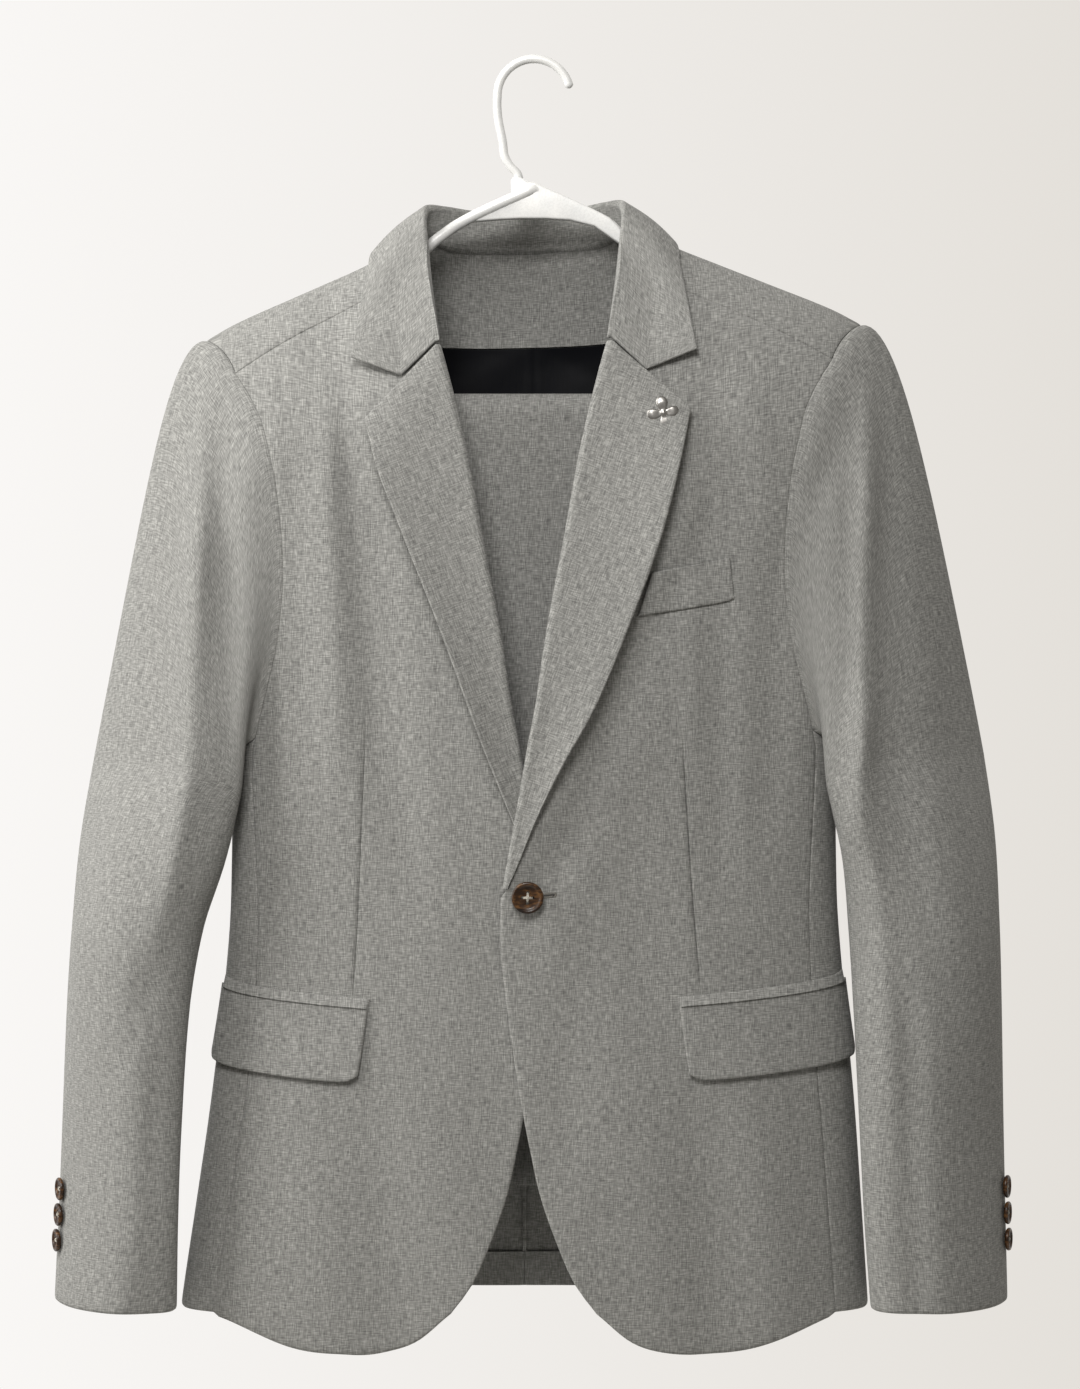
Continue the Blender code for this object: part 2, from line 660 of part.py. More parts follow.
def lapel(side, edge_table, name):
    roll_table = [LAPEL_END] + ROLL_LINE[1:]
    rolls = walk([Vector((s.x, s.z, 0)) for s in reversed(roll_table)], LAPEL_ROWS)
    edges = walk([Vector((s.x, s.z, 0)) for s in edge_table], LAPEL_ROWS)
    rows = []
    for i, (roll, edge) in enumerate(zip(rolls, edges)):
        down = i / LAPEL_ROWS
        bulk = ease((1 - down) * 2.2)   # the roll is rounder towards the collar
        lead = mix(LEAD_TOP, LEAD_LOW, down)

        def at(x, z, out):
            x = side * x + NECK_X
            return Vector((x, front_face(side, x, z) - out, z))

        low = -(WALL + LOOSE + WALL + 0.8 * bulk)
        high = LOOSE + WALL + 2.2 * bulk
        heart = (low + high) / 2
        width = 0.5 * (high - low)
        row = [at(roll.x + lead, roll.y, low), at(roll.x + mix(FOLD, lead, 0.4), roll.y, low)]
        for k in range(5):
            turn = pi * k / 4
            row.append(at(roll.x + FOLD * (1 - sin(turn)), roll.y, heart - width * cos(turn)))
        for k in range(1, LEAF_COLS + 1):
            share = k / LEAF_COLS
            x, z = mix(roll.x + FOLD, edge.x, share), mix(roll.y, edge.y, share)
            row.append(at(x, z, LOOSE + WALL + bulk * (0.8 + 1.4 * (1 - share) ** 2)))
        drop = Vector((0, 0, GORGE_GAP)) if i == 0 else Vector((0, 0, 0))
        rows.append([hang(p - drop) for p in row])
    return cloth(name, rows, (side * 60 + NECK_X, 40, -350))


# ---- pockets, facings and lining ----------------------------------------------------
FLAP_Z = [(-618, -604), (-667, -653)]   # inner and outer end, at the top and the bottom
FLAP_INNER = (99.5, 105)                # from the centre of the fronts
FLAP_END = 0.472                        # place round the girth
JET_HIGH = 6.0
POCKET_COLS = 7


def pocket_strip(side, name, z_top, z_low, inner, lift_top, lift_low, wall, rows):
    grid = []
    for i in range(rows + 1):
        v = i / rows
        row = []
        for j in range(POCKET_COLS + 1):
            u = j / POCKET_COLS
            z = mix(mix(z_top[0], z_top[1], u), mix(z_low[0], z_low[1], u), v)
            start = side * mix(inner[0], inner[1], v) + NECK_X
            at = mix(girth_place(start, z), FLAP_END, u)
            point = girth(at, z, mix(lift_top, lift_low, v))
            row.append(hang(Vector((side * point.x + low_centre(z), point.y, z))))
        grid.append(row)
    return cloth(name, grid, (0, 0, -630), wall=wall)


def hip_pocket(side, tag):
    top, low = FLAP_Z
    pocket_strip(side, f"flap_{tag}", top, low, FLAP_INNER, CLEAR + WALL, CLEAR + WALL + 2.0, WALL, 3)
    jet_low = [z + 2 * SEAM for z in top]
    jet_top = [z + JET_HIGH for z in top]
    ends = (FLAP_INNER[0] - 3, FLAP_INNER[0] - 2)
    pocket_strip(side, f"jet_{tag}", jet_top, jet_low, ends, CLEAR + THIN, CLEAR + THIN, THIN, 1)


WELT = [Spot(67, -368), Spot(120, -360), Spot(129.5, -357)], [Spot(76, -340), Spot(126, -331)]


def chest_welt():
    low = walk([Vector((s.x, s.z, 0)) for s in WELT[0]], 5)
    high = walk([Vector((s.x, s.z, 0)) for s in WELT[1]], 5)
    grid = []
    for k in range(3):
        line = [a.lerp(b, k / 2) for a, b in zip(low, high)]
        grid.append([hang(Vector((p.x, front_face(1, p.x, p.y) - CLEAR - THIN, p.y))) for p in line])
    return cloth("chest_welt", grid, (100, 60, -350), wall=THIN)


def inner_back(name, top_z, low_z, top_half, low_half, material, sag_top, sag_low, rows):
    """A thin cloth against the inside of the back; its upper and lower edges sag."""
    cols = 10
    grid = []
    for i in range(rows + 1):
        v = i / rows
        row = []
        for j in range(cols + 1):
            u = j / cols
            half = mix(top_half, low_half, v)
            x = NECK_X + mix(-half, half, u)
            z = mix(top_z, low_z, v) - mix(sag_top, sag_low, v) * sin(pi * u)
            row.append(hang(body_out(x, run_of(x, z, 1), -INSIDE)))
        grid.append(row)
    return cloth(name, grid, (0, 90, (top_z + low_z) / 2), material, THIN)


LINING_ROOM = 2.3
INSIDE = WALL + LINING_ROOM + THIN      # face of what lies inside a panel, seen from the hollow
FACING_TOP, FACING_LOW, FACING_SAG = -119.0, -178.0, 4.5
NECK_SAG = 5.8      # the facing's upper edge follows the neckline
LINING_LOW = -430.0
HEM_TURN, HEM_COLS = 23.0, 10


def back_inside():
    inner_back("back_neck_facing", FACING_TOP, FACING_LOW, 62, 92, WOOL, NECK_SAG, FACING_SAG, 4)
    inner_back("back_lining", FACING_LOW - 0.8, LINING_LOW, 92, 150, SATIN, FACING_SAG, 0.0, 6)
    for side, tag in ((1, "left"), (-1, "right")):
        grid = []
        for z in (BACK_HEM_Z + 1.0, BACK_HEM_Z + HEM_TURN):
            row = []
            for j in range(HEM_COLS + 1):
                x = NECK_X + side * mix(0.5, 188, j / HEM_COLS)
                row.append(hang(body_out(x, run_of(x, z, 1), -(WALL + 0.8 + THIN))))
            grid.append(row)
        cloth(f"back_hem_{tag}", grid, (0, 90, BACK_HEM_Z), wall=THIN)


# ---- buttons and pin ----------------------------------------------------------------
Button = namedtuple("Button", "radius high rim sides hole spread")
FRONT_BUTTON = Button(10.3, 3.6, 1.6, 28, 1.1, 2.3)
CUFF_BUTTON = Button(7.5, 3.2, 1.3, 16, 0.9, 1.8)


def turned(profile, sides):
    """A closed body turned round Z from a profile that starts and ends on the axis."""
    bm = bmesh.new()
    verts = [bm.verts.new((r * MM, 0, z * MM)) for r, z in profile]
    for a, b in zip(verts, verts[1:]):
        bm.edges.new((a, b))
    bmesh.ops.spin(bm, geom=bm.verts[:] + bm.edges[:], axis=(0, 0, 1), cent=(0, 0, 0),
                   angle=2 * pi, steps=sides, use_merge=True)
    bmesh.ops.remove_doubles(bm, verts=bm.verts, dist=1e-6)
    bmesh.ops.recalc_face_normals(bm, faces=bm.faces)
    return bm


def button(name, kind, point, normal):
    """A four-hole button with a raised rim, its back at the point."""
    r, h, rim = kind.radius, kind.high, kind.rim
    profile = [(0, 0), (0.8 * r, 0), (r, 0.5 * h), (r - 0.7 * rim, h), (r - 1.6 * rim, 0.7 * h),
               (0, 0.66 * h)]
    obj = place(name, mesh_from(turned(profile, kind.sides), name), HORN)
    normal = Vector(normal).normalized()
    spin = normal.to_track_quat("Z", "Y")
    obj.location = Vector(point) * MM
    obj.rotation_mode = "QUATERNION"
    obj.rotation_quaternion = spin
    bm = bmesh.new()
    for sx in (-1, 1):
        for sy in (-1, 1):
            made = bmesh.ops.create_cone(bm, cap_ends=True, segments=6, radius1=kind.hole * MM,
                                         radius2=kind.hole * MM, depth=3 * h * MM)
            shift = Vector((sx * kind.spread, sy * kind.spread, 0)) * MM
            bmesh.ops.translate(bm, verts=made["verts"], vec=shift)
    holes = place(f"{name}_holes", mesh_from(bm, f"{name}_holes"), HORN, CUTTERS)
    holes.location = obj.location
    holes.rotation_mode = "QUATERNION"
    holes.rotation_quaternion = spin
    holes.hide_render = True
    holes.display_type = "WIRE"
    cut = obj.modifiers.new("holes", "BOOLEAN")
    cut.operation = "DIFFERENCE"
    cut.object = holes
    return obj


FRONT_BUTTON_AT = Spot(-4, -547)
CUFF_BUTTONS_Z = (-741, -758, -775)
CUFF_BUTTON_TURN = radians(-12)


def buttons():
    x, z = FRONT_BUTTON_AT
    faces = [front_face(1, x + dx, z + dz) for dx in (-9, 0, 9) for dz in (-9, 0, 9)]
    point = hang(Vector((x, min(faces) - CLEAR, z)))
    button("front_button", FRONT_BUTTON, point, (0, -1, 0))
    for side, rings, tag in ((1, SLEEVE_LEFT, "left"), (-1, SLEEVE_RIGHT, "right")):
        for k, z in enumerate(CUFF_BUTTONS_Z):
            step = radians(2)
            at = ring_point(side, rings, z, CUFF_BUTTON_TURN)
            tangent = ring_point(side, rings, z, CUFF_BUTTON_TURN + step) - at
            normal = Vector((tangent.y, -tangent.x, 0)).normalized()
            if normal.x * side < 0:
                normal = -normal
            button(f"sleeve_button_{tag}_{k + 1}", CUFF_BUTTON, hang(at + normal * 0.8), normal)


PIN_AT = Spot(83, -238)
PIN_RADIUS, PIN_WAVE, PIN_HIGH = 8.2, 3.0, 2.0
PIN_OUT = LOOSE + WALL + 1.0    # face of the lapel under the pin, off the front


def lapel_pin():
    """A small metal flower with four round petals."""
    x, z = PIN_AT
    face = min(front_face(1, x + dx, z + dz) for dx in (-9, 9) for dz in (-9, 9))
    curve = bpy.data.curves.new("lapel_pin", "CURVE")
    curve.dimensions = "2D"
    curve.fill_mode = "BOTH"
    curve.extrude = PIN_HIGH / 4 * MM
    curve.bevel_depth = PIN_HIGH / 4 * MM
    curve.bevel_resolution = 0
    line = curve.splines.new("POLY")
    count = 32
    line.points.add(count - 1)
    for k, point in enumerate(line.points):
        turn = 2 * pi * k / count
        r = PIN_RADIUS + PIN_WAVE * cos(4 * turn)
        point.co = (r * cos(turn) * MM, r * sin(turn) * MM, 0, 1)
    line.use_cyclic_u = True
    pin = place("lapel_pin", curve, SILVER)
    pin.location = hang(Vector((x, face - PIN_OUT - CLEAR - PIN_HIGH / 2, z))) * MM
    pin.rotation_euler = (pi / 2, 0, 0)
    return pin


# ---- trousers -----------------------------------------------------------------------
BAR_Z, BAR_RADIUS = -231.8, 4.0
LEG = 4.2               # two layers of pressed cloth
LEG_FRONT_LOW, LEG_BACK_LOW = -739.0, -700.0
LEG_HALF = [(-1.0, 96), (0.0, 109), (1.0, 122)]     # hems in front, knee on the bar, seat behind
BAND_HIGH, BAND_THICK = 38.0, 7.5


def leg(name, radius):
    """One pressed leg, folded over the bar at the knee."""
    close = 3.0
    path = []
    for k in range(6):
        z = mix(LEG_FRONT_LOW, BAR_Z - 12, k / 5)
        path.append((-radius + close * ease((BAR_Z - z) / 120), z, -(1 - k / 5)))
    for k in range(9):
        turn = pi * k / 8
        path.append((-radius * cos(turn), BAR_Z + radius * sin(turn), 0.0))
    for k in range(6):
        z = mix(BAR_Z - 12, LEG_BACK_LOW, k / 5)
        path.append((radius - close * ease((BAR_Z - z) / 120), z, k / 5))
    grid = []
    for y, z, share in path:
        half = read(LEG_HALF, share)
        grid.append([Vector((NECK_X + mix(-half, half, j / 4), y, z)) for j in range(5)])
    obj = cloth(name, grid, (0, 0, -400), wall=LEG)
    edge = obj.modifiers.new("edge", "BEVEL")
    edge.width = 1.2 * MM
    edge.segments = 1
    edge.limit_method = "ANGLE"
    edge.angle_limit = radians(60)
    return obj


def trousers():
    inner = BAR_RADIUS + CLEAR + LEG
    leg("trouser_leg_inner", inner)
    leg("trouser_leg_outer", inner + CLEAR + LEG)
    half = LEG_HALF[-1][1] + 2
    top = LEG_BACK_LOW - 2 * SEAM
    rows = [top - BAND_HIGH * k / 2 for k in range(3)]
    y = inner + CLEAR + LEG - 4.0
    grid = [[Vector((NECK_X + mix(-half, half, j / 6), y, z)) for j in range(7)] for z in rows]
    return cloth("trouser_waistband", grid, (0, -60, -720), wall=BAND_THICK)


# ---- hanger -------------------------------------------------------------------------
ROD = 2.85              # radius of the hook's rod
HOOK_BEND = 24.1        # radius of the hook's centre line
HOOK_MOUTH = radians(15)
SHANK = [(-24.3, -28), (-23.4, -38), (-20.8, -51), (-19.4, -61), (-15.6, -68.0), (-11.2, -72.5),
         (-9.8, -76.3)]
ARM_RADIUS = 3.65
ARM_LINE = [(0, -83), (30, -96.5), (50, -106.5), (60, -113.2), (66, -117.8), (72, -123.2),
            (78, -127.4), (84, -130.8)]
ARM_SHIFT = 6.5         # the wearer's left arm dips sooner, because the collar is nearer there
YOKE_HALF = 74.0
TUBE_GAP = 1.7
BAR_GAP = 1.2
ARM_ROOM = 1.8          # between an arm's top and the cloth over it
ARM_END = 196.0
BAR_BEND_DROP = 55.0
BAR_BEND = [(203, 5), (210, 14), (213, 28), (208, 44), (196, 53)]   # x, drop below the arm's end


def tube(name, route, radius):
    curve = bpy.data.curves.new(name, "CURVE")
    curve.dimensions = "3D"
    curve.bevel_depth = radius * MM
    curve.bevel_resolution = 2
    curve.use_fill_caps = True
    line = curve.splines.new("POLY")
    line.points.add(len(route) - 1)
    for point, spot in zip(line.points, route):
        point.co = (*(Vector(spot) * MM), 1)
    return place(name, curve, PLASTIC)


def arm_z(x):
    """Height of the arm's centre line, which carries the shoulder's ridge."""
    under = hang(Vector((x, 0, ridge(x)))).z - WALL - ARM_ROOM - ARM_RADIUS
    seen = read(ARM_LINE, abs(x) + ARM_SHIFT * ease((x - 50) / 12))
    return mix(seen, under, ease((abs(x) - 84) / 16))


def hook():
    centre = -HOOK_BEND + ROD
    route = []
    steps = 22
    for k in range(steps + 1):
        turn = mix(HOOK_MOUTH, pi, k / steps)
        route.append((HOOK_BEND * cos(turn), 0, centre + HOOK_BEND * sin(turn)))
    shank = walk([Vector((-HOOK_BEND, centre, 0))] + [Vector((x, z, 0)) for x, z in SHANK], 10)
    route += [(p.x, 0, p.y) for p in shank[1:]]
    return tube("hanger_hook", route, ROD)


def as_mesh(obj):
    """The curve's object made a mesh, with its caps welded."""
    data = bpy.data.meshes.new_from_object(obj.evaluated_get(bpy.context.evaluated_depsgraph_get()))
    bm = bmesh.new()
    bm.from_mesh(data)
    bmesh.ops.remove_doubles(bm, verts=bm.verts, dist=1e-6)
    bm.to_mesh(data)
    bm.free()
    name, matrix = obj.name, obj.matrix_world.copy()
    bpy.data.objects.remove(obj)
    made = bpy.data.objects.new(name, data)
    made.matrix_world = matrix
    SUIT.objects.link(made)
    return made


WEB = [(-44, -103), (-14, -88), (0, -80), (14, -87.5), (40, -101), (58, -110.5), (42, -107),
       (20, -104), (-8, -103.2), (-30, -104.8)]
WEB_THICK = 4.0
BLOCK_AT, BLOCK_SIZE = (-5.5, 0, -84.0), (17.0, 8.0, 12.0)


def yoke():
    """The moulded middle: a block at the hook, a web, and the roots of both arms."""
    count = 24
    route = []
    for k in range(count + 1):
        x = mix(-YOKE_HALF, YOKE_HALF, k / count)
        route.append((x, 0, arm_z(x)))
    arms = as_mesh(tube("hanger_yoke", route, ARM_RADIUS))
    bm = bmesh.new()
    outline = [bm.verts.new((x * MM, -WEB_THICK / 2 * MM, z * MM)) for x, z in WEB]
    face = bm.faces.new(outline)
    grown = bmesh.ops.extrude_face_region(bm, geom=[face])
    moved = [v for v in grown["geom"] if isinstance(v, bmesh.types.BMVert)]
    bmesh.ops.translate(bm, verts=moved, vec=(0, WEB_THICK * MM, 0))
    bmesh.ops.recalc_face_normals(bm, faces=bm.faces)
    web = place("hanger_web_shape", mesh_from(bm, "hanger_web_shape"), PLASTIC, CUTTERS)
    bm = bmesh.new()
    bmesh.ops.create_cube(bm, size=1.0)
    bmesh.ops.scale(bm, verts=bm.verts, vec=[s * MM for s in BLOCK_SIZE])
    bmesh.ops.bevel(bm, geom=bm.edges, offset=1.5 * MM, segments=2, affect="EDGES", profile=0.5)
    bmesh.ops.translate(bm, verts=bm.verts, vec=[c * MM for c in BLOCK_AT])
    block = place("hanger_block_shape", mesh_from(bm, "hanger_block_shape"), PLASTIC, CUTTERS)
    for shape in (web, block):
        shape.hide_render = True
        shape.display_type = "WIRE"
        join = arms.modifiers.new("join", "BOOLEAN")
        join.operation = "UNION"
        join.object = shape
    return arms


def hanger():
    hook()
    yoke()
    for side, tag in ((1, "left"), (-1, "right")):
        count = 14
        route = []
        for k in range(count + 1):
            x = side * mix(YOKE_HALF + TUBE_GAP, ARM_END, k / count)
            route.append((x, 0, arm_z(x)))
        tube(f"hanger_arm_{tag}", route, ARM_RADIUS)
    bends = {}
    for side in (1, -1):
        end = arm_z(side * ARM_END)
        slope = (end - arm_z(side * (ARM_END - 4))) / 4
        start = (side * (ARM_END + BAR_GAP), end + BAR_GAP * slope)
        drop = (end - BAR_Z) / BAR_BEND_DROP
        spots = [start] + [(side * x, end - d * drop) for x, d in BAR_BEND]
        spots.append((side * 182, BAR_Z))
        bends[side] = walk([Vector((x, z, 0)) for x, z in spots], 14)
    route = [(p.x, 0, p.y) for p in bends[1]] + [(p.x, 0, p.y) for p in reversed(bends[-1])]
    tube("hanger_bar", route, ARM_RADIUS)


def suit():
    for side, tag, rings in ((1, "left", SLEEVE_LEFT), (-1, "right", SLEEVE_RIGHT)):
        front(side, f"front_{tag}")
        side_panel(side, f"side_{tag}")
        back(side, f"back_{tag}")
        sleeve(side, rings, tag)
        hip_pocket(side, tag)
    lapel(1, LAPEL_EDGE_LEFT, "lapel_left")
    lapel(-1, LAPEL_EDGE_RIGHT, "lapel_right")
    collar()
    chest_welt()
    back_inside()
    buttons()
    lapel_pin()
    trousers()
    hanger()


suit()
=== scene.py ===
"""A two-piece suit on its hanger: jacket, folded trousers, buttons, pin and plastic hanger.

Sizes are in millimetres until a mesh is made. +X is the wearer's left, -Y the front, +Z up, and
the origin is the underside of the hook's crown. The jacket's body is one surface: a point on it
is given by x and by the run over the shoulder ridge, negative down the front, positive down the
back. Every panel is a grid of points on that surface, laid at real size, then given its wall.
"""
import bpy
import numpy as np
from collections import namedtuple
from math import pi, radians
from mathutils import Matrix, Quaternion, Vector


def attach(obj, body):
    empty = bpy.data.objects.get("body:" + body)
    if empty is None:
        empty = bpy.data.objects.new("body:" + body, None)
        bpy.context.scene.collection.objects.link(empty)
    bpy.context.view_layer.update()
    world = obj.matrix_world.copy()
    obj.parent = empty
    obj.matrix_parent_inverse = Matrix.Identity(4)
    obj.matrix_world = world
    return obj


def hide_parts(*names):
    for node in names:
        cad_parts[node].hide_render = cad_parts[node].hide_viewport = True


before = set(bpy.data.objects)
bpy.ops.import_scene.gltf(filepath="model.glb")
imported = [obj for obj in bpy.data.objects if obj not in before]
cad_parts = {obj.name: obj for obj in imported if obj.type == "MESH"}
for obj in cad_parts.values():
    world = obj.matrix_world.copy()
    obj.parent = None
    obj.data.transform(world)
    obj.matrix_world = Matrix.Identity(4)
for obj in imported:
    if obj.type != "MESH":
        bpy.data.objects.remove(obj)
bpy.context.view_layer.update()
bpy.ops.object.select_all(action="DESELECT")

MM = 0.001
WALL = 1.5          # suiting with its interlining
THIN = 1.0          # facing, lining, jets and turn-ups
SEAM = -0.25        # each panel runs this far past its seam line, so no light shows through
CLEAR = 0.7         # between cloths that lie on each other
LOOSE = 1.0         # between the fronts and the lapels turned over them
ROOM = 1.9          # between the curved back and what lies against it
K = 5               # how many times finer the cloth is laid than its main points
FRONT, BACK = -1, 1     # the side of the ridge that a run or a face lies on
SIDES = (1, "left"), (-1, "right")      # the wearer's

# ---- body of the jacket
NECK_X = -6.5
NECK_FADE = 60.0    # from here out to twice as far, the ridge's shape moves back to the centre
ROLL_DROP = 110.0
ROLL_POWER = 1.25
GIRTH_POWER = 2.6
Girth = namedtuple("Girth", "z front back half centre")
GIRTHS = [Girth(*row) for row in (
    (-100, 60, 56, 250, 0), (-250, 62, 58, 232, 0), (-340, 62, 58, 215, 0),
    (-450, 60, 55, 200.5, 0), (-545, 57, 50, 199.5, 0), (-603, 57, 50, 203.5, 0),
    (-684, 59, 52, 212, -1), (-740, 60, 54, 218, -3), (-815, 61, 56, 226, -6),
    (-850, 61, 56, 229, -7))]
RIDGES = [(-40, -90), (0, -74), (40, -90), (73, -111.5), (100, -126), (115, -133), (157, -150.5),
          (196, -167), (217, -178.5), (260, -204)]
TILT_HIGH, TILT_FROM, TILT_TO = 0.024, -250.0, -800.0

# Seam lines, for the wearer's left: x from the seam's own centre, and z
HEM_FRONT = [(202, -820), (151, -838), (113, -842), (88, -840), (67, -832), (47, -815)]
FRONT_EDGE = [(47, -815), (33, -796), (21.5, -770), (11, -740), (4, -708), (-2.5, -674),
              (-9.5, -626), (-14.5, -582), (-14.5, -547)]
ROLL_LINE = [(-14.5, -547), (-10.5, -523), (-3.5, -484), (2.5, -449), (7.5, -423), (14.5, -376),
             (25.5, -317), (35.5, -262), (45, -221), (53.5, -189)]
NECK_TURN = [(53.5, -189), (60, -166), (69, -151), (80, -143)]
SHOULDER_SEAM = [(80, -143), (107, -157), (156, -180), (195, -202)]
SIDE_SEAM = [(203, -818), (190, -703), (185, -658), (181, -600), (180, -550), (184, -465),
             (182, -443)]
BACK_SEAM = [(202, -818), (188, -703), (180, -600), (179, -550), (184, -443)]
ARMHOLE_FRONT = [(182, -443), (174.5, -414), (168, -387), (164, -360), (162.5, -335),
                 (163.5, -306), (168, -270), (174, -244), (181, -225), (195, -202)]
ARMHOLE_BACK = [(184, -443), (176, -395), (172, -345), (173, -300), (178, -255), (187, -222),
                (202, -197)]
SHOULDER_POINT = 216.5
NECKLINE_BACK = [(0, 57), (30, 49), (53, 33), (68, 15), (73, 0)]    # x, run
UNDERARM_Z, BACK_HEM_Z = -456.0, -815.0
LAP = [(-300, 0.0), (-430, 7.6), (-560, 7.0), (-650, 3.6), (-740, 2.6), (-850, 2.4)]
LAP_FROM, LAP_TO = 80.0, 22.0
ROLL_BACK, BREAK_RUN = 4.6, 6.0

# rows and columns between main points, before they are laid finer
EDGE_ROWS, ROLL_ROWS, NECK_ROWS, SIDE_ROWS = 6, 9, 3, 7
FRONT_COLS, SIDE_COLS, NECK_COLS, SHOULDER_COLS = 9, 4, 6, 6
ARM_FRONT_ROWS = EDGE_ROWS + ROLL_ROWS + NECK_ROWS - SIDE_ROWS
RIDGE_SHARES = (0, 0.34, 0.68, 1)
RIDGE_RUNS = (12, 26, 41, 58, 80, 112, 160, 215)
ARM_BACK_ROWS = len(RIDGE_SHARES) + len(RIDGE_RUNS)
NECK_REACH = 112.0


def mix(a, b, share):
    return a + (b - a) * share


def ease(share):
    share = np.clip(share, 0.0, 1.0)
    return share * share * (3 - 2 * share)


def read(table, at, column=1):
    """Smooth values of a column at places in a table sorted on its first column."""
    rows = np.array(sorted(tuple(row) for row in table), float)
    keys, values = rows[:, 0], rows[:, column]
    last = len(keys) - 1
    after = np.minimum(np.arange(last + 1) + 1, last)
    before = np.maximum(np.arange(last + 1) - 1, 0)
    slope = (values[after] - values[before]) / (keys[after] - keys[before])
    at = np.clip(at, keys[0], keys[-1])
    i = np.clip(np.searchsorted(keys, at, side="right") - 1, 0, last - 1)
    width = keys[i + 1] - keys[i]
    s = (at - keys[i]) / width
    rise = values[i + 1] - values[i]
    a = slope[i] * width - rise
    b = rise - slope[i + 1] * width
    return values[i] + rise * s + s * (1 - s) * ((1 - s) * a + s * b)


def points(x, y, z):
    return np.stack(np.broadcast_arrays(np.asarray(x, float), y, z), axis=-1)


def ridge(x):
    centre = NECK_X * (1 - ease((np.abs(x) - NECK_FADE) / NECK_FADE))
    return read(RIDGES, np.abs(x - centre))


def run_of(x, z, face=FRONT):
    """Run over the ridge of the points at x and z, on the front or the back."""
    drop = np.maximum(0.0, ridge(x) - z)
    inside = np.clip(1 - drop / ROLL_DROP, 0.0, 1.0)
    rolled = ROLL_DROP * np.arccos(inside ** (1 / ROLL_POWER)) * 2 / pi
    return face * np.where(drop >= ROLL_DROP, drop, rolled)


def low_centre(z):
    return read(GIRTHS, z, 4)


def girth_depth(face, z):
    return np.where(face < 0, read(GIRTHS, z, 1), read(GIRTHS, z, 2))


def girth_share(x, z):
    """How far x is from the girth's centre, as a share of its half width."""
    return np.clip(np.abs(x - low_centre(z)) / read(GIRTHS, z, 3), 0, 1)


def body(x, run):
    """Points of the jacket's outer face."""
    x, run = np.asarray(x, float), np.asarray(run, float)
    face = np.where(run < 0, FRONT, BACK)
    turn = np.minimum(np.abs(run) / ROLL_DROP, 1.0) * pi / 2
    rolled = ROLL_DROP * (1 - np.cos(turn) ** ROLL_POWER)
    z = ridge(x) - np.where(np.abs(run) < ROLL_DROP, rolled, np.abs(run))
    bulge = (1 - girth_share(x, z) ** GIRTH_POWER) ** (1 / GIRTH_POWER)
    return points(x, face * girth_depth(face, z) * bulge * np.sin(turn) ** ROLL_POWER, z)


def unit(v):
    return v / np.maximum(np.linalg.norm(v, axis=-1, keepdims=True), 1e-9)


def body_normal(x, run):
    across = body(x + 1.0, run) - body(x - 1.0, run)
    down = body(x, run + 1.0) - body(x, run - 1.0)
    normal = unit(np.cross(across, down))
    turn = np.clip(run / ROLL_DROP, -1, 1) * pi / 2
    wrong = normal[..., 1] * np.sin(turn) + normal[..., 2] * np.cos(turn) < 0
    return np.where(wrong[..., None], -normal, normal)


def body_out(x, run, out):
    """Points at a distance from the jacket's outer face, measured square to it."""
    x, run = np.asarray(x, float), np.asarray(run, float)
    return body(x, run) + body_normal(x, run) * np.asarray(out, float)[..., None]


SEARCH, SEARCH_STEP, FINEST = 140, 4.0, 0.1     # runs tried to find the nearest point of the body


def clear_of_body(p, out):
    """The points, moved square to the outer face until they stand off it far enough."""
    x = p[..., 0]

    def nearest(runs):
        apart = np.linalg.norm(body(x[..., None], runs) - p[..., None, :], axis=-1)
        return np.argmin(apart, axis=-1)

    tries = np.arange(-SEARCH, SEARCH + 1, SEARCH_STEP)
    run = tries[nearest(tries)]
    step = SEARCH_STEP / 2
    while step > FINEST:
        around = np.stack([run - step, run, run + step], axis=-1)
        run = np.take_along_axis(around, nearest(around)[..., None], axis=-1)[..., 0]
        step /= 2
    normal = body_normal(x, run)
    short = out - ((p - body(x, run)) * normal).sum(axis=-1)
    return p + normal * np.maximum(0.0, short)[..., None]


def front_y(x, z):
    return body(x, run_of(x, z))[..., 1]


def lap_rise(x, z):
    """How far the over front stands off, at x from the centre of the front."""
    return read(LAP, z) * ease((LAP_FROM - x) / (LAP_FROM - LAP_TO))


def front_face(side, x, z):
    return front_y(x, z) - (lap_rise(x - NECK_X, z) if side > 0 else 0.0)


def hang(p):
    """The whole jacket tilts slightly, as it hangs."""
    p = np.array(p, float)
    tilt = TILT_HIGH * np.clip((p[..., 2] - TILT_TO) / (TILT_FROM - TILT_TO), 0, 1)
    p[..., 2] += tilt * p[..., 0]
    return p


# ---- curves and patches
SPANS = 24          # straight spans between two given points of a smooth curve


def lengths(grid, axis):
    """Distance along the grid's rows or columns, from zero at their start."""
    steps = np.linalg.norm(np.diff(grid, axis=axis), axis=-1)
    start = np.zeros_like(np.take(steps, [0], axis=axis))
    return np.concatenate([start, np.cumsum(steps, axis=axis)], axis=axis)


def spline(a, b, c, d, s):
    """Between b and c, at the share s, on a smooth curve through four points."""
    return 0.5 * (2 * b + (c - a) * s + (2 * a - 5 * b + 4 * c - d) * s ** 2
                  + (3 * b - a - 3 * c + d) * s ** 3)


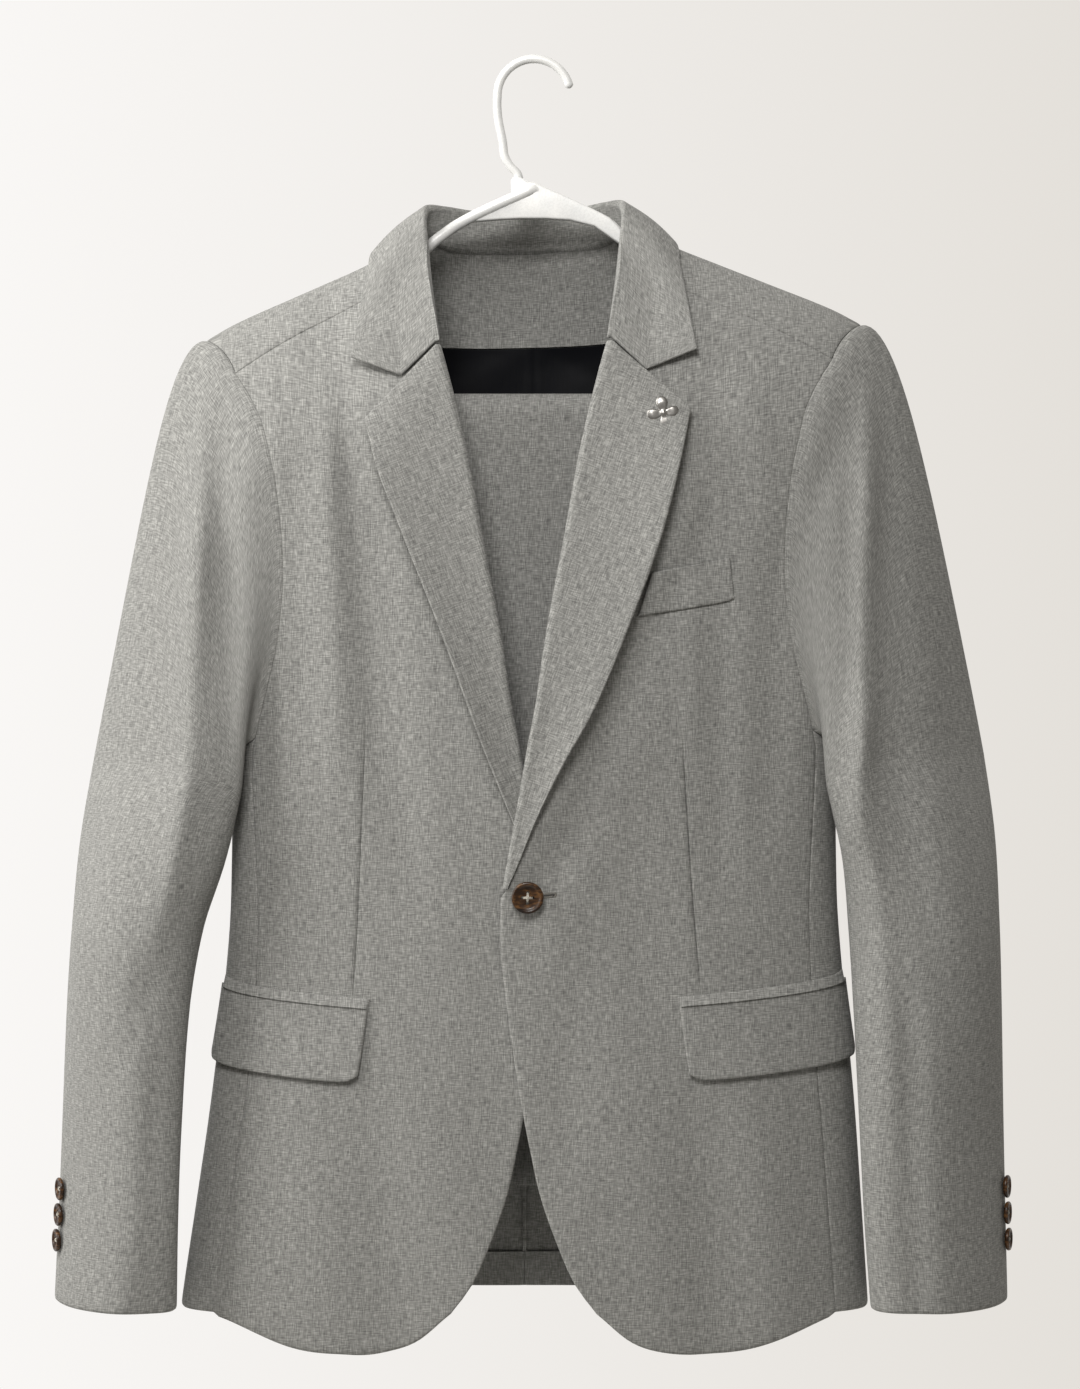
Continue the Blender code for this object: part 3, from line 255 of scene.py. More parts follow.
def walk(given, count):
    """Count + 1 points, evenly spaced along a smooth curve through the given ones."""
    given = np.array(given, float)
    ends = np.concatenate([[2 * given[0] - given[1]], given, [2 * given[-1] - given[-2]]])
    s = np.arange(SPANS)[:, None] / SPANS
    fine = [spline(a, b, c, d, s) for a, b, c, d in zip(ends, ends[1:], ends[2:], ends[3:])]
    fine = np.concatenate(fine + [given[-1:]])
    far = lengths(fine, 0)
    at = np.linspace(0, far[-1], count + 1)
    return np.stack([np.interp(at, far, fine[:, k]) for k in range(fine.shape[1])], axis=1)


def between(values, parts=K):
    """The values with others evenly set between each pair."""
    values = np.array(values, float)
    steps = np.arange(len(values) * parts - parts + 1) / parts
    return np.interp(steps, np.arange(len(values)), values)


def shares_over(rows, cols):
    """Shares up and across a grid of cells, as a column and a row."""
    return np.linspace(0, 1, rows + 1)[:, None], np.linspace(0, 1, cols + 1)[None, :]


def patch(left, right, low, high, shares=None):
    """Grid of points between four edges: left and right run upwards, low and high across."""
    u = np.linspace(0, 1, len(low))[None, :, None]
    v = (np.linspace(0, 1, len(left)) if shares is None else shares)[:, None, None]
    corners = mix(mix(low[0], low[-1], u), mix(high[0], high[-1], u), v)
    return mix(left[:, None], right[:, None], u) + mix(low[None], high[None], v) - corners


# A grid's left, right, low and high edges, and the lines next to them
EDGES = (np.s_[:, 0], np.s_[:, 1]), (np.s_[:, -1], np.s_[:, -2]), (0, 1), (-1, -2)


def trim(grid):
    """The grid with all its edges moved on past their seam lines."""
    g = grid.copy()
    for edge, beside in EDGES:
        g[edge] += unit(grid[beside] - grid[edge]) * SEAM
    return g


def seam_places(face, side, line, centre=0.0):
    """A seam table as places (x, run) on the front or the back of one side."""
    line = np.array(line, float)
    x = side * line[:, 0] + centre
    return points(x, run_of(x, line[:, 1], face), 0.0)


def shoulder_line(side, count):
    line = np.array(SHOULDER_SEAM, float)
    first, last = line[0, 0], line[-1, 0]
    centre = NECK_X * (last - line[:, 0]) / (last - first)
    return walk(seam_places(FRONT, side, line, centre), count)


def side_line(side, face):
    """The side panel's seam with the front or with the back."""
    seam = np.array(SIDE_SEAM if face == FRONT else BACK_SEAM, float)
    return walk(seam_places(face, side, seam, low_centre(seam[:, 1])), SIDE_ROWS * K)


def armhole_front(side):
    return walk(seam_places(FRONT, side, ARMHOLE_FRONT), ARM_FRONT_ROWS * K)


def armhole_back(side):
    """Up the back, over the shoulder point and down to the shoulder seam."""
    places = np.concatenate([seam_places(BACK, side, ARMHOLE_BACK),
                             [[side * SHOULDER_POINT, 0, 0]],
                             seam_places(FRONT, side, SHOULDER_SEAM[-1:])])
    runs = [places[-1, 1] * (1 - share) for share in RIDGE_SHARES]
    runs = between(runs + list(RIDGE_RUNS) + [places[0, 1]])[::-1]
    return points(read(places[:, [1, 0]], runs), runs, 0.0)


def front_places(side):
    shift = [(ROLL_LINE[0][0] + ROLL_BACK, ROLL_LINE[0][1] + BREAK_RUN)]
    shift += [(x + ROLL_BACK, z) for x, z in ROLL_LINE[1:]]
    stretches = ((FRONT_EDGE, EDGE_ROWS * K), (shift, ROLL_ROWS * K - 1),
                 ([shift[-1]] + NECK_TURN[1:], NECK_ROWS * K))
    edge, roll, neck = (walk(seam_places(FRONT, side, line, NECK_X), count)
                        for line, count in stretches)
    inner = np.concatenate([edge, roll, neck[1:]])
    outer = np.concatenate([side_line(side, FRONT), armhole_front(side)[1:]])
    hem = walk(seam_places(FRONT, side, HEM_FRONT[::-1], NECK_X), FRONT_COLS * K)
    hem[-1] = outer[0]
    return patch(inner, outer, hem, shoulder_line(side, FRONT_COLS * K))


def back_places(side):
    neck = np.array(NECKLINE_BACK, float)
    neck = points(side * neck[:, 0] + NECK_X, neck[:, 1], 0.0)
    shoulder = shoulder_line(side, SHOULDER_COLS * K)
    top = neck[0, 1]
    part = NECK_COLS / (NECK_COLS + SHOULDER_COLS)
    seam_run = (-shoulder[0, 1] + part * shoulder[-1, 1]) / (1 - part)
    runs = [top + seam_run * s for s in RIDGE_SHARES] + [top + seam_run + r for r in RIDGE_RUNS]
    low = np.linspace(run_of(NECK_X, BACK_HEM_Z, BACK), runs[-1], (SIDE_ROWS + 1) * K + 1)
    inner = points(NECK_X, np.concatenate([low[:-1], between(runs)[::-1]]), 0.0)
    outer = np.concatenate([side_line(side, BACK), armhole_back(side)[1:]])
    x = np.linspace(NECK_X, outer[0, 0], (NECK_COLS + SHOULDER_COLS) * K + 1)
    hem = points(x, run_of(x, np.full_like(x, BACK_HEM_Z), BACK), 0.0)
    hem[-1] = outer[0]
    shares = [0.0] * (SIDE_ROWS + 1)
    shares += [max(0.0, 1 - r / NECK_REACH) for r in reversed(RIDGE_RUNS)]
    shares = between(shares + [1.0] * len(RIDGE_SHARES))
    nape = walk(np.concatenate([neck, shoulder[:1]]), NECK_COLS * K)
    return patch(inner, outer, hem, np.concatenate([nape, shoulder[1:]]), shares)


def girth_place(x, z):
    return np.arcsin(girth_share(x, z) ** (GIRTH_POWER / 2)) / pi


def girth(side, place, z, out=0.0):
    """Points round the girth: 0 centre front, 0.5 side, 1 centre back."""
    turn = place * pi
    face = np.where(np.cos(turn) > 0, FRONT, BACK)
    x = (read(GIRTHS, z, 3) + out) * np.abs(np.sin(turn)) ** (2 / GIRTH_POWER)
    y = face * (girth_depth(face, z) + out) * np.abs(np.cos(turn)) ** (2 / GIRTH_POWER)
    return points(side * x + low_centre(z), y, z)


def side_points(side):
    a, b = (body(line[:, 0], line[:, 1])
            for line in (side_line(side, FRONT), side_line(side, BACK)))
    v, u = shares_over(len(a) - 1, SIDE_COLS * K)
    sag = (UNDERARM_Z - a[:, 2:]) * np.sin(pi * u) * v ** 4
    z = mix(a[:, 2:], b[:, 2:], u) + np.where(v == 1, sag, sag * 0.5)
    at = mix(girth_place(a[:, :1], a[:, 2:]), 1 - girth_place(b[:, :1], b[:, 2:]), u)
    return girth(side, at, z)


def front_points(side, places):
    p = body(places[..., 0], places[..., 1])
    if side > 0:
        p[..., 1] -= lap_rise(p[..., 0] - NECK_X, p[..., 2])
    return p


# ---- drape
# Soft folds seen square on: a line from one point to another, how wide the fold is, and how far
# it stands out (plus) or sinks (minus).
Fold = namedtuple("Fold", "x1 z1 x2 z2 width rise")
FOLDS_FRONT = [Fold(*row) for row in (
    (-138, -165, -141, -245, 13, -2.8), (-122, -240, -104, -420, 11, -4.2),
    (-98, -330, -84, -480, 12, -3.0), (-132, -250, -128, -420, 8, 1.6),
    (-156, -250, -150, -400, 9, -1.6), (-60, -600, -40, -780, 26, 1.8),
    (-150, -690, -135, -820, 22, 2.0), (-100, -700, -90, -830, 18, -1.6),
    (92, -352, 26, -500, 13, -5.0), (112, -250, 114, -335, 11, -2.4),
    (119, -350, 121, -485, 11, -2.8), (99, -365, 101, -425, 8, 1.8),
    (158, -355, 152, -470, 13, -3.0), (140, -230, 146, -300, 14, 1.6),
    (60, -570, 75, -790, 24, 1.8), (30, -590, 20, -700, 16, -1.6),
    (150, -690, 160, -820, 20, 1.8), (112, -700, 118, -830, 18, -1.5))]
FOLDS_BACK = [Fold(*row) for row in (
    (-120, -210, -110, -420, 18, -2.6), (118, -220, 104, -440, 18, -2.4),
    (-60, -230, -40, -330, 16, 1.4), (52, -240, 44, -350, 16, 1.2),
    (-80, -470, -95, -800, 26, 2.2), (70, -490, 92, -800, 26, 2.0),
    (-140, -520, -150, -800, 20, -2.0), (142, -510, 152, -800, 20, -2.2),
    (-26, -520, -34, -800, 16, -1.3), (22, -540, 30, -800, 16, -1.2))]
FOLDS_SLEEVE = {1: (
    (216, -196, 188, -272, 9, -3.0), (188, -272, 172, -330, 10, -3.2),
    (219, -205, 216, -300, 7, 4.0), (216, -300, 212, -440, 8, 6.6),
    (212, -440, 205, -505, 9, 5.0), (232, -260, 236, -470, 13, -2.6),
    (262, -330, 268, -470, 16, 1.8), (240, -500, 262, -600, 12, -2.4),
    (215, -510, 228, -640, 9, 3.0), (280, -470, 290, -560, 10, -1.8),
    (262, -640, 266, -800, 14, 1.8), (240, -660, 246, -800, 10, -1.6)), -1: (
    (-216, -205, -219, -330, 9, 4.2), (-219, -330, -226, -480, 10, 6.2),
    (-226, -480, -238, -560, 11, 4.4), (-201, -240, -196, -470, 11, -5.0),
    (-240, -250, -248, -420, 13, -2.0), (-270, -380, -280, -500, 12, 1.6),
    (-232, -560, -262, -640, 11, -2.2), (-288, -480, -292, -580, 10, -1.8),
    (-262, -640, -268, -800, 14, 1.8), (-240, -650, -244, -800, 10, -1.8))}
FOLDS_SLEEVE = {side: [Fold(*row) for row in rows] for side, rows in FOLDS_SLEEVE.items()}
# The sleeves seen from behind, the wearer's left; the right has its mirror image.
FOLDS_SLEEVE_BACK = [Fold(*row) for row in (
    (230, -230, 222, -330, 12, -2.4), (250, -300, 244, -420, 14, 2.2),
    (222, -430, 256, -500, 11, -3.0), (218, -490, 262, -545, 10, -2.6),
    (262, -560, 270, -780, 16, 2.0))]
FOLD_END = 0.35         # the run over which a fold fades beyond its ends, in shares of its length
CALM = 0.45             # how uneven the pressed wool is
TURN_FROM, TURN_OVER = 2.0, 22.0        # depths between which the folds of one side set in


def folded(p, table, y_way=-1.0):
    """The points moved forward or back by the folds in a table."""
    x, z = p[..., 0], p[..., 2]
    total = np.zeros_like(x)
    for f in table:
        dx, dz = f.x2 - f.x1, f.z2 - f.z1
        ahead = ((x - f.x1) * dx + (z - f.z1) * dz) / (dx * dx + dz * dz)
        held = np.clip(ahead, 0, 1)
        off = np.hypot(x - f.x1 - dx * held, z - f.z1 - dz * held)
        fade = np.exp(-(np.minimum(ahead, 0) / FOLD_END) ** 2
                      - (np.maximum(ahead - 1, 0) / FOLD_END) ** 2)
        beside = np.abs((x - f.x1) * dz - (z - f.z1) * dx) / np.hypot(dx, dz)
        total += f.rise * fade * np.exp(-(np.minimum(beside, off) / f.width) ** 2)
    p = p.copy()
    p[..., 1] += y_way * total
    return p


def settle(p):
    """Slight unevenness of pressed wool: long low waves that run mostly up and down."""
    x, z = p[..., 0], p[..., 2]
    wave = np.sin(x / 17 + z / 90 + 1.3) + 0.8 * np.sin(x / 31 - z / 60 + 0.4)
    wave += 0.6 * np.sin(x / 11 + z / 37 + 2.2)
    p = p.copy()
    p[..., 1] += CALM * wave * np.sign(p[..., 1])
    return p


def drape(p):
    """Folds of the body's cloth; one rule for all that lies there, so layers stay apart."""
    y = p[..., 1]
    front = ease((-y - TURN_FROM) / TURN_OVER)[..., None]
    back = ease((y - TURN_FROM) / TURN_OVER)[..., None]
    calm = settle(p)
    moved = mix(p, folded(calm, FOLDS_FRONT, -1.0), front)
    return mix(moved, folded(calm, FOLDS_BACK, 1.0), back)


# ---- colours and materials
def tone(hex_code):
    """Linear colour of an sRGB hex value."""
    parts = [int(hex_code[k:k + 2], 16) / 255 for k in (1, 3, 5)]
    return (*(c / 12.92 if c <= 0.04045 else ((c + 0.055) / 1.055) ** 2.4 for c in parts), 1.0)


def node(tree, kind, settings=(), **links):
    """Add a node; settings are its properties, links its sockets' values or source sockets."""
    made = tree.nodes.new("ShaderNode" + kind)
    for key, value in dict(settings).items():
        setattr(made, key, value)
    for key, value in links.items():
        numbered = key[0] == "i" and key[1:].isdigit()
        socket = made.inputs[int(key[1:]) if numbered else key.replace("_", " ")]
        if isinstance(value, bpy.types.NodeSocket):
            tree.links.new(value, socket)
        else:
            socket.default_value = value
    return made


def noise(tree, at, scale=1.0, detail=2.0, **more):
    made = node(tree, "TexNoise", (), Vector=at, Scale=scale, Detail=detail, **more)
    return made.outputs["Fac"]


def stretched(tree, at, *scale):
    return node(tree, "Mapping", (), Vector=at, Scale=scale).outputs["Vector"]


def scaled_sum(tree, value, factor, more):
    made = node(tree, "Math", {"operation": "MULTIPLY_ADD"}, i0=value, i1=factor, i2=more)
    return made.outputs["Value"]


def object_place(tree):
    return node(tree, "TexCoord").outputs["Object"]


def spread(tree, source, from_low, from_high, low, high, **settings):
    made = node(tree, "MapRange", settings, Value=source, i1=from_low, i2=from_high, i3=low,
                i4=high)
    return made.outputs["Result"]


def ramp(tree, source, stops):
    made = tree.nodes.new("ShaderNodeValToRGB")
    bar = made.color_ramp
    while len(bar.elements) < len(stops):
        bar.elements.new(0.5)
    for element, (place, colour) in zip(bar.elements, stops):
        element.position = place
        element.color = tone(colour)
    tree.links.new(source, made.inputs[0])
    return made.outputs["Color"]


def blank(name):
    made = bpy.data.materials.new(name)
    made.use_nodes = True
    return made, made.node_tree


def feed(tree, colour, rough=None, bump=None, **fixed):
    """Feed the shader: colour is a source and its stops, rough a source and the roughness at its
    low and high end, bump a height, its strength and its distance; the rest are fixed values."""
    shader = tree.nodes["Principled BSDF"].inputs
    tree.links.new(ramp(tree, *colour), shader["Base Color"])
    if rough:
        source, low, high = rough
        tree.links.new(spread(tree, source, 0.3, 0.7, low, high), shader["Roughness"])
    if bump:
        height, strength, distance = bump
        raised = node(tree, "Bump", (), Strength=strength, Distance=distance, Height=height)
        tree.links.new(raised.outputs["Normal"], shader["Normal"])
    for key, value in fixed.items():
        shader[key.replace("_", " ")].default_value = value


THREAD = 0.75       # mm between drawn threads
SLUB = 5.5          # mm that a thread stays of one shade
STREAK = (2.2, 26.0)    # mm across and along the faint streaks of uneven yarn
PER_METRE = 1000.0


def threads(tree, lengthwise, crosswise, seed):
    """Shade of the threads that run along one way of the cloth: soft-ended slubs."""
    place = node(tree, "CombineXYZ", (), X=lengthwise, Y=crosswise, Z=seed).outputs["Vector"]
    slubs = stretched(tree, place, PER_METRE / SLUB, PER_METRE / THREAD, 1.0)
    return noise(tree, slubs, 1.0, 1.0, Roughness=0.45)


def wool_cloth(name, dark, mid, light):
    """Plain-woven melange wool, pressed: matt, with short lighter and darker slubs both ways."""
    made, tree = blank(name)
    uv = node(tree, "UVMap", {"uv_map": "cut"}).outputs["UV"]
    way = node(tree, "SeparateXYZ", (), Vector=uv).outputs
    warp = threads(tree, way["Y"], way["X"], 3.0)
    weft = threads(tree, way["X"], way["Y"], 11.0)
    crossed = node(tree, "Math", {"operation": "ADD"}, i0=warp, i1=weft).outputs["Value"]
    streaks = noise(tree, stretched(tree, uv, *(PER_METRE / mm for mm in STREAK), 1.0))
    mottle = scaled_sum(tree, streaks, 0.15, -0.075)
    shade = scaled_sum(tree, crossed, 0.5, mottle)
    feed(tree, (shade, [(0.3, dark), (0.5, mid), (0.7, light)]), (warp, 0.94, 0.82),
         (crossed, 0.35, 0.0004), IOR=1.5, Specular_IOR_Level=0.2, Sheen_Weight=0.1,
         Sheen_Roughness=0.5)
    return made


def satin_cloth(name, dark, light):
    """Woven viscose satin: long floats, so it is dark and smooth with a soft streaked gloss."""
    made, tree = blank(name)
    uv = node(tree, "UVMap", {"uv_map": "cut"}).outputs["UV"]
    streak = noise(tree, stretched(tree, uv, 900.0, 60.0, 1.0))
    height = scaled_sum(tree, streak, 0.15, noise(tree, uv, 30.0))
    feed(tree, (streak, [(0.3, dark), (0.75, light)]), (streak, 0.5, 0.34),
         (height, 0.35, 0.0012), Specular_IOR_Level=0.1)
    return made


def horn(name):
    """Polished dark horn: brown with pale streaked clouds, a soft gloss with fine scratches."""
    made, tree = blank(name)
    at = object_place(tree)
    cloud = noise(tree, stretched(tree, at, 150.0, 150.0, 420.0), 1.0, 4.0, Distortion=0.8)
    scratch = noise(tree, at, 1400.0, 3.0)
    feed(tree, (cloud, [(0.3, "#180E06"), (0.5, "#342010"), (0.72, "#6A4A2A")]),
         (scratch, 0.26, 0.42), (scratch, 0.15, 0.0001), IOR=1.54, Specular_IOR_Level=0.3,
         Coat_Weight=0.1, Coat_Roughness=0.15)
    return made


def cast_silver(name):
    """Cast and tumbled white metal: bright, with a fine satin grain and duller, darker patches."""
    made, tree = blank(name)
    at = object_place(tree)
    dull = noise(tree, at, 260.0)
    feed(tree, (dull, [(0.3, "#7E7C79"), (0.65, "#B4B2AE")]), (dull, 0.46, 0.3),
         (noise(tree, at, 1800.0, 3.0), 0.2, 0.0001), Metallic=1.0)
    return made


def moulded_plastic(name):
    """Injection-moulded white polystyrene: glossy, faintly wavy where it shrank in the mould."""
    made, tree = blank(name)
    at = object_place(tree)
    flow = noise(tree, at, 90.0)
    feed(tree, (flow, [(0.3, "#D3D4D3"), (0.7, "#DDDDDB")]),
         (noise(tree, at, 900.0, 3.0), 0.2, 0.36), (flow, 0.12, 0.0006), IOR=1.59,
         Subsurface_Weight=0.05, Subsurface_Radius=(0.002, 0.002, 0.002))
    return made


def twisted_thread(name, dark, light):
    """Twisted polyester thread: two plies that catch the light in turn, partly as a bump and partly
    as painted highlight, the lighter patches in the colour.
    """
    made, tree = blank(name)
    ply = noise(tree, object_place(tree), 2600.0, 1.0)
    # The ply noise paints lighter and darker patches into the colour as painted highlight, and also
    # drives the bump.
    feed(tree, (ply, [(0.35, dark), (0.65, light)]), None, (ply, 0.4, 0.0001), Roughness=0.6,
         Sheen_Weight=0.3)
    return made


WOOL = wool_cloth("melange_wool_suiting", "#60605E", "#848481", "#A7A7A3")
SATIN = satin_cloth("navy_viscose_satin", "#030407", "#090A0F")
HORN = horn("polished_horn")
SILVER = cast_silver("cast_white_metal")
PLASTIC = moulded_plastic("moulded_polystyrene")
BUTTON_THREAD = twisted_thread("pale_button_thread", "#8E8A80", "#C4BFB3")
SEWING_THREAD = twisted_thread("grey_sewing_thread", "#55534E", "#85827B")
# Dark colour that paints the shade of the buttonhole's open slit and eye.
SLIT_SHADE_THREAD = twisted_thread("painted_slit_shade_thread", "#1B1A18", "#302E2A")


# ---- making pieces
def settle_piece(obj, name, material, slot, *nodes):
    """Name a finished piece, give it its finish, and tie it to the frame."""
    obj.name = obj.data.name = name
    if material is not None:
        obj.data.materials.clear()
        obj.data.materials.append(material)
    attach(obj, "root")
    if nodes:
        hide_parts(*nodes)


def only(*objects):
    """Select these objects alone, the first of them active."""
    bpy.ops.object.select_all(action="DESELECT")
    for obj in objects:
        obj.select_set(True)
    bpy.context.view_layer.objects.active = objects[0]


def edit(obj, *steps):
    """Mesh operators with their settings, run in edit mode, each on the whole mesh."""
    only(obj)
    bpy.ops.object.mode_set(mode="EDIT")
    for step, settings in steps:
        bpy.ops.mesh.select_all(action="SELECT")
        step(**settings)
    bpy.ops.object.mode_set(mode="OBJECT")


WELD = 0.02         # points of a closed mesh that lie nearer than this are one


def weld(obj, apart=WELD, *before):
    """Join a mesh's doubled points and turn its faces outward, after other steps if any."""
    edit(obj, *before, (bpy.ops.mesh.remove_doubles, {"threshold": apart * MM}),
         (bpy.ops.mesh.normals_make_consistent, {"inside": False}))


def joined(objects):
    only(*objects)
    bpy.ops.object.join()
    return bpy.context.object


def bevel(obj, width, segments, degrees):
    """Round the edges that turn by more than an angle."""
    edge = obj.modifiers.new("edge", "BEVEL")
    edge.width, edge.segments = width * MM, segments
    edge.limit_method, edge.angle_limit = "ANGLE", radians(degrees)


def apply_modifiers(obj):
    only(obj)
    for modifier in list(obj.modifiers):
        bpy.ops.object.modifier_apply(modifier=modifier.name)


def smooth(obj, degrees=50):
    only(obj)
    bpy.ops.object.shade_smooth_by_angle(angle=radians(degrees))


HEM_FADE = 18.0         # the run above the hem over which a seam's edge comes to turn in
BANDS = (0.1, 0.26, 0.55)       # where rows are added beside an edge, in shares of a cell
TUCK = (2.6, 0.8, 0.28, 0.05)   # how deep a sewn edge turns in, from the edge inward
ROLLED = (1.5, 0.42, 0.08, 0.0)    # the same for a turned and pressed edge


def banded(grid, edges=(1, 1, 1, 1)):
    """The grid with added rows beside its left, right, low and high edges."""
    for wanted, axis, way in zip(edges, (1, 1, 0, 0), (1, -1, 1, -1)):
        if wanted:
            rows = np.moveaxis(grid, axis, 0)[::way]
            added = [mix(rows[:1], rows[1:2], share) for share in BANDS]
            rows = np.concatenate([rows[:1]] + added + [rows[1:]])
            grid = np.ascontiguousarray(np.moveaxis(rows[::way], 0, axis))
    return grid


def normals(grid):
    return unit(np.cross(np.gradient(grid, axis=1), np.gradient(grid, axis=0)))


def tucked(grid, out, sewn):
    """The grid with its edges turned in: sewn where the number is plus, pressed where it is minus.

    out is 1 where the grid's normals already point out."""
    depth = np.zeros(grid.shape[:2])
    for k in range(len(TUCK)):
        for edge, line in enumerate(((slice(None), k), (slice(None), -1 - k), (k,), (-1 - k,))):
            amount = np.asarray(sewn[edge], float)
            deep = np.where(amount > 0, TUCK[k] * amount, -ROLLED[k] * amount)
            depth[line] = np.maximum(depth[line], deep)
    return grid - normals(grid) * (out * depth)[..., None]


def to_hem(line, amount):
    """How far a seam's edge turns in, from its heights: not at all at the hem."""
    return amount * ease((line - line.min()) / HEM_FADE)


def outward(grid, inside):
    """1 if the grid's normals point away from the inside point, otherwise -1."""
    away = (normals(grid) * (grid - np.array(inside, float))).sum()
    return 1 if away > 0 else -1


def gridded(grid):
    """A mesh object whose points are the grid's, in millimetres."""
    rows, cols = grid.shape[:2]
    bpy.ops.mesh.primitive_grid_add(x_subdivisions=cols - 1, y_subdivisions=rows - 1, size=1)
    obj = bpy.context.object
    obj.data.vertices.foreach_set("co", (grid * MM).ravel())
    return obj


def cloth(node_name, grid, inside, wall=WALL, uv=None,
          face=WOOL, lining=None, sewn=(0, 0, 0, 0), closed=False):
    """A panel of cloth from the grid of its outer face, in millimetres, with its wall inward."""
    out = outward(grid, inside)
    grid = tucked(grid, out, sewn)
    obj = gridded(grid)
    mesh = obj.data
    if uv is None:
        across, middle = lengths(grid, 1), grid.shape[1] // 2
        across = across - across[:, middle:middle + 1]
        down = lengths(grid, 0).mean(axis=1, keepdims=True)
        uv = np.stack([across, np.broadcast_to(down, across.shape)], axis=-1)
    corner = np.zeros(len(mesh.loops), int)
    mesh.loops.foreach_get("vertex_index", corner)
    mesh.uv_layers[0].name = "cut"
    mesh.uv_layers["cut"].data.foreach_set("uv", (uv.reshape(-1, 2)[corner] * MM).ravel())
    if closed:
        edit(obj, (bpy.ops.mesh.remove_doubles, {"threshold": WELD * MM}))
    if out < 0:
        edit(obj, (bpy.ops.mesh.flip_normals, {}))
    mesh.materials.clear()
    mesh.materials.append(face)
    mesh.materials.append(lining or face)
    shell = obj.modifiers.new("wall", "SOLIDIFY")
    shell.thickness = wall * MM
    shell.offset = -1
    shell.thickness_clamp = 1.0
    shell.material_offset = 1
    bevel(obj, 0.4 * wall, 3, 60)
    apply_modifiers(obj)
    smooth(obj)
    slot = "satin_lining" if face is SATIN else "wool_suiting"
    settle_piece(obj, f"{node_name}_cloth", None, slot, node_name)


# Places round the girth and how far cloth runs to reach them from the centre, at a middle height
GRAIN_HALF, GRAIN_DEEP = 205.0, 58.0
GRAIN_SHARE = np.linspace(0, 1, 400)
GRAIN_DEPTH = GRAIN_DEEP * (1 - GRAIN_SHARE ** GIRTH_POWER) ** (1 / GIRTH_POWER)
GRAIN_RUN = lengths(np.stack([GRAIN_HALF * GRAIN_SHARE, GRAIN_DEPTH], axis=1), 0)


def grain(x, run, z):
    """Straight-grained place on the cut cloth for points of the body."""
    share = np.clip(np.abs(x - low_centre(z)) / GRAIN_HALF, 0, 1)
    u = np.sign(x) * np.interp(share, GRAIN_SHARE, GRAIN_RUN)
    return np.stack([u, ridge(x) - np.abs(run)], axis=-1)


# Pieces lie apart on the cut cloth, so that no two show the same threads
SIDE_APART, SLEEVE_APART, LAPEL_APART, FLAP_APART = 300, 700, 900, 1300.0

# ---- fronts, sides and back
DARTS = {1: [(-434, 95), (-536, 102), (-604, 108)], -1: [(-427, -108), (-562, -114), (-609, -117)]}
DART_MIDDLE = -520.0        # the height at which the column nearest the dart is found
DART_PAST, DART_FADE = 90.0, 80.0       # columns still lean this far past the ends, fading out
DART_FOOT, DART_HEAD = 14.0, 40.0       # the run over which it sinks in at its low and high end
DART_LINE = 1.9             # how deep its seam lies
DART_BANDS = (0.35, 1.0, 2.6)
DART_DEEP, DART_STEEP = (1.35, 0.7, 0.15), (0.12, 0.0, 0.0)     # the side that lies under, the lap


def with_dart(side, places):
    """Columns moved so that one lies along the dart, with others added beside it."""
    z = body(places[..., 0], places[..., 1])[..., 2]
    low, high = DARTS[side][-1][0], DARTS[side][0][0]
    middle = np.abs(z[:, places.shape[1] // 2] - DART_MIDDLE).argmin()
    at = int(np.abs(places[middle, :, 0] - read(DARTS[side], DART_MIDDLE)).argmin())
    line, x = z[:, at], places[..., 0]
    held = ease((line - low + DART_PAST) / DART_FADE) * ease((high + DART_PAST - line) / DART_FADE)
    shift = (read(DARTS[side], line) - x[:, at]) * held
    first, last, mid = x[:, :1], x[:, -1:], x[:, at:at + 1]
    share = np.where(np.abs(x - first) < np.abs(mid - first),
                     (x - first) / (mid - first), (last - x) / (last - mid))
    places = places.copy()
    places[..., 0] += shift[:, None] * share
    deep = ease((line - low) / DART_FOOT) * ease((high - line) / DART_HEAD)
    here = places[:, at]
    ways = [places[:, at - 1] - here, places[:, at + 1] - here]
    room = np.minimum(*(np.linalg.norm(way, axis=-1) for way in ways))
    fit = np.minimum(1, 0.8 * room / DART_BANDS[-1])[:, None]
    inner, outer = (DART_DEEP, DART_STEEP) if side > 0 else (DART_STEEP, DART_DEEP)
    beside = [[(here + unit(way) * d * fit, deep * k) for d, k in zip(DART_BANDS, depths)]
              for way, depths in zip(ways, (inner, outer))]
    added = beside[0][::-1] + [(here, deep * DART_LINE)] + beside[1]
    plain = [(column, np.zeros(len(here))) for column in places.swapaxes(0, 1)]
    cols, depth = zip(*(plain[:at] + added + plain[at + 1:]))
    return np.stack(cols, axis=1), np.stack(depth, axis=1)


def front(side, tag):
    places, dart = with_dart(side, trim(front_places(side)))
    both = banded(np.concatenate([places, dart[..., None]], axis=-1))
    places, dart = both[..., :3], both[..., 3]
    normal = body_normal(places[..., 0], places[..., 1])
    p = drape(front_points(side, places)) - normal * dart[..., None]
    edge = p[:, -1, 2]
    seam = to_hem(edge, np.where(edge > UNDERARM_Z, 0.4, 1.0 if side > 0 else 0.35))
    cloth(f"front_{tag}", hang(p), (0, 0, -450),
          uv=grain(places[..., 0], places[..., 1], p[..., 2]), lining=SATIN,
          sewn=(-1, seam, -1, 0.8))


def side_panel(side, tag):
    p = drape(banded(trim(side_points(side))))
    cloth(f"side_{tag}", hang(p), (0, 0, -600),
          uv=np.stack([lengths(p, 1) + SIDE_APART * side, p[..., 2]], axis=-1), lining=SATIN,
          sewn=(to_hem(p[:, 0, 2], 0.35 if side > 0 else 1), to_hem(p[:, -1, 2], 1), -1, 0.4))


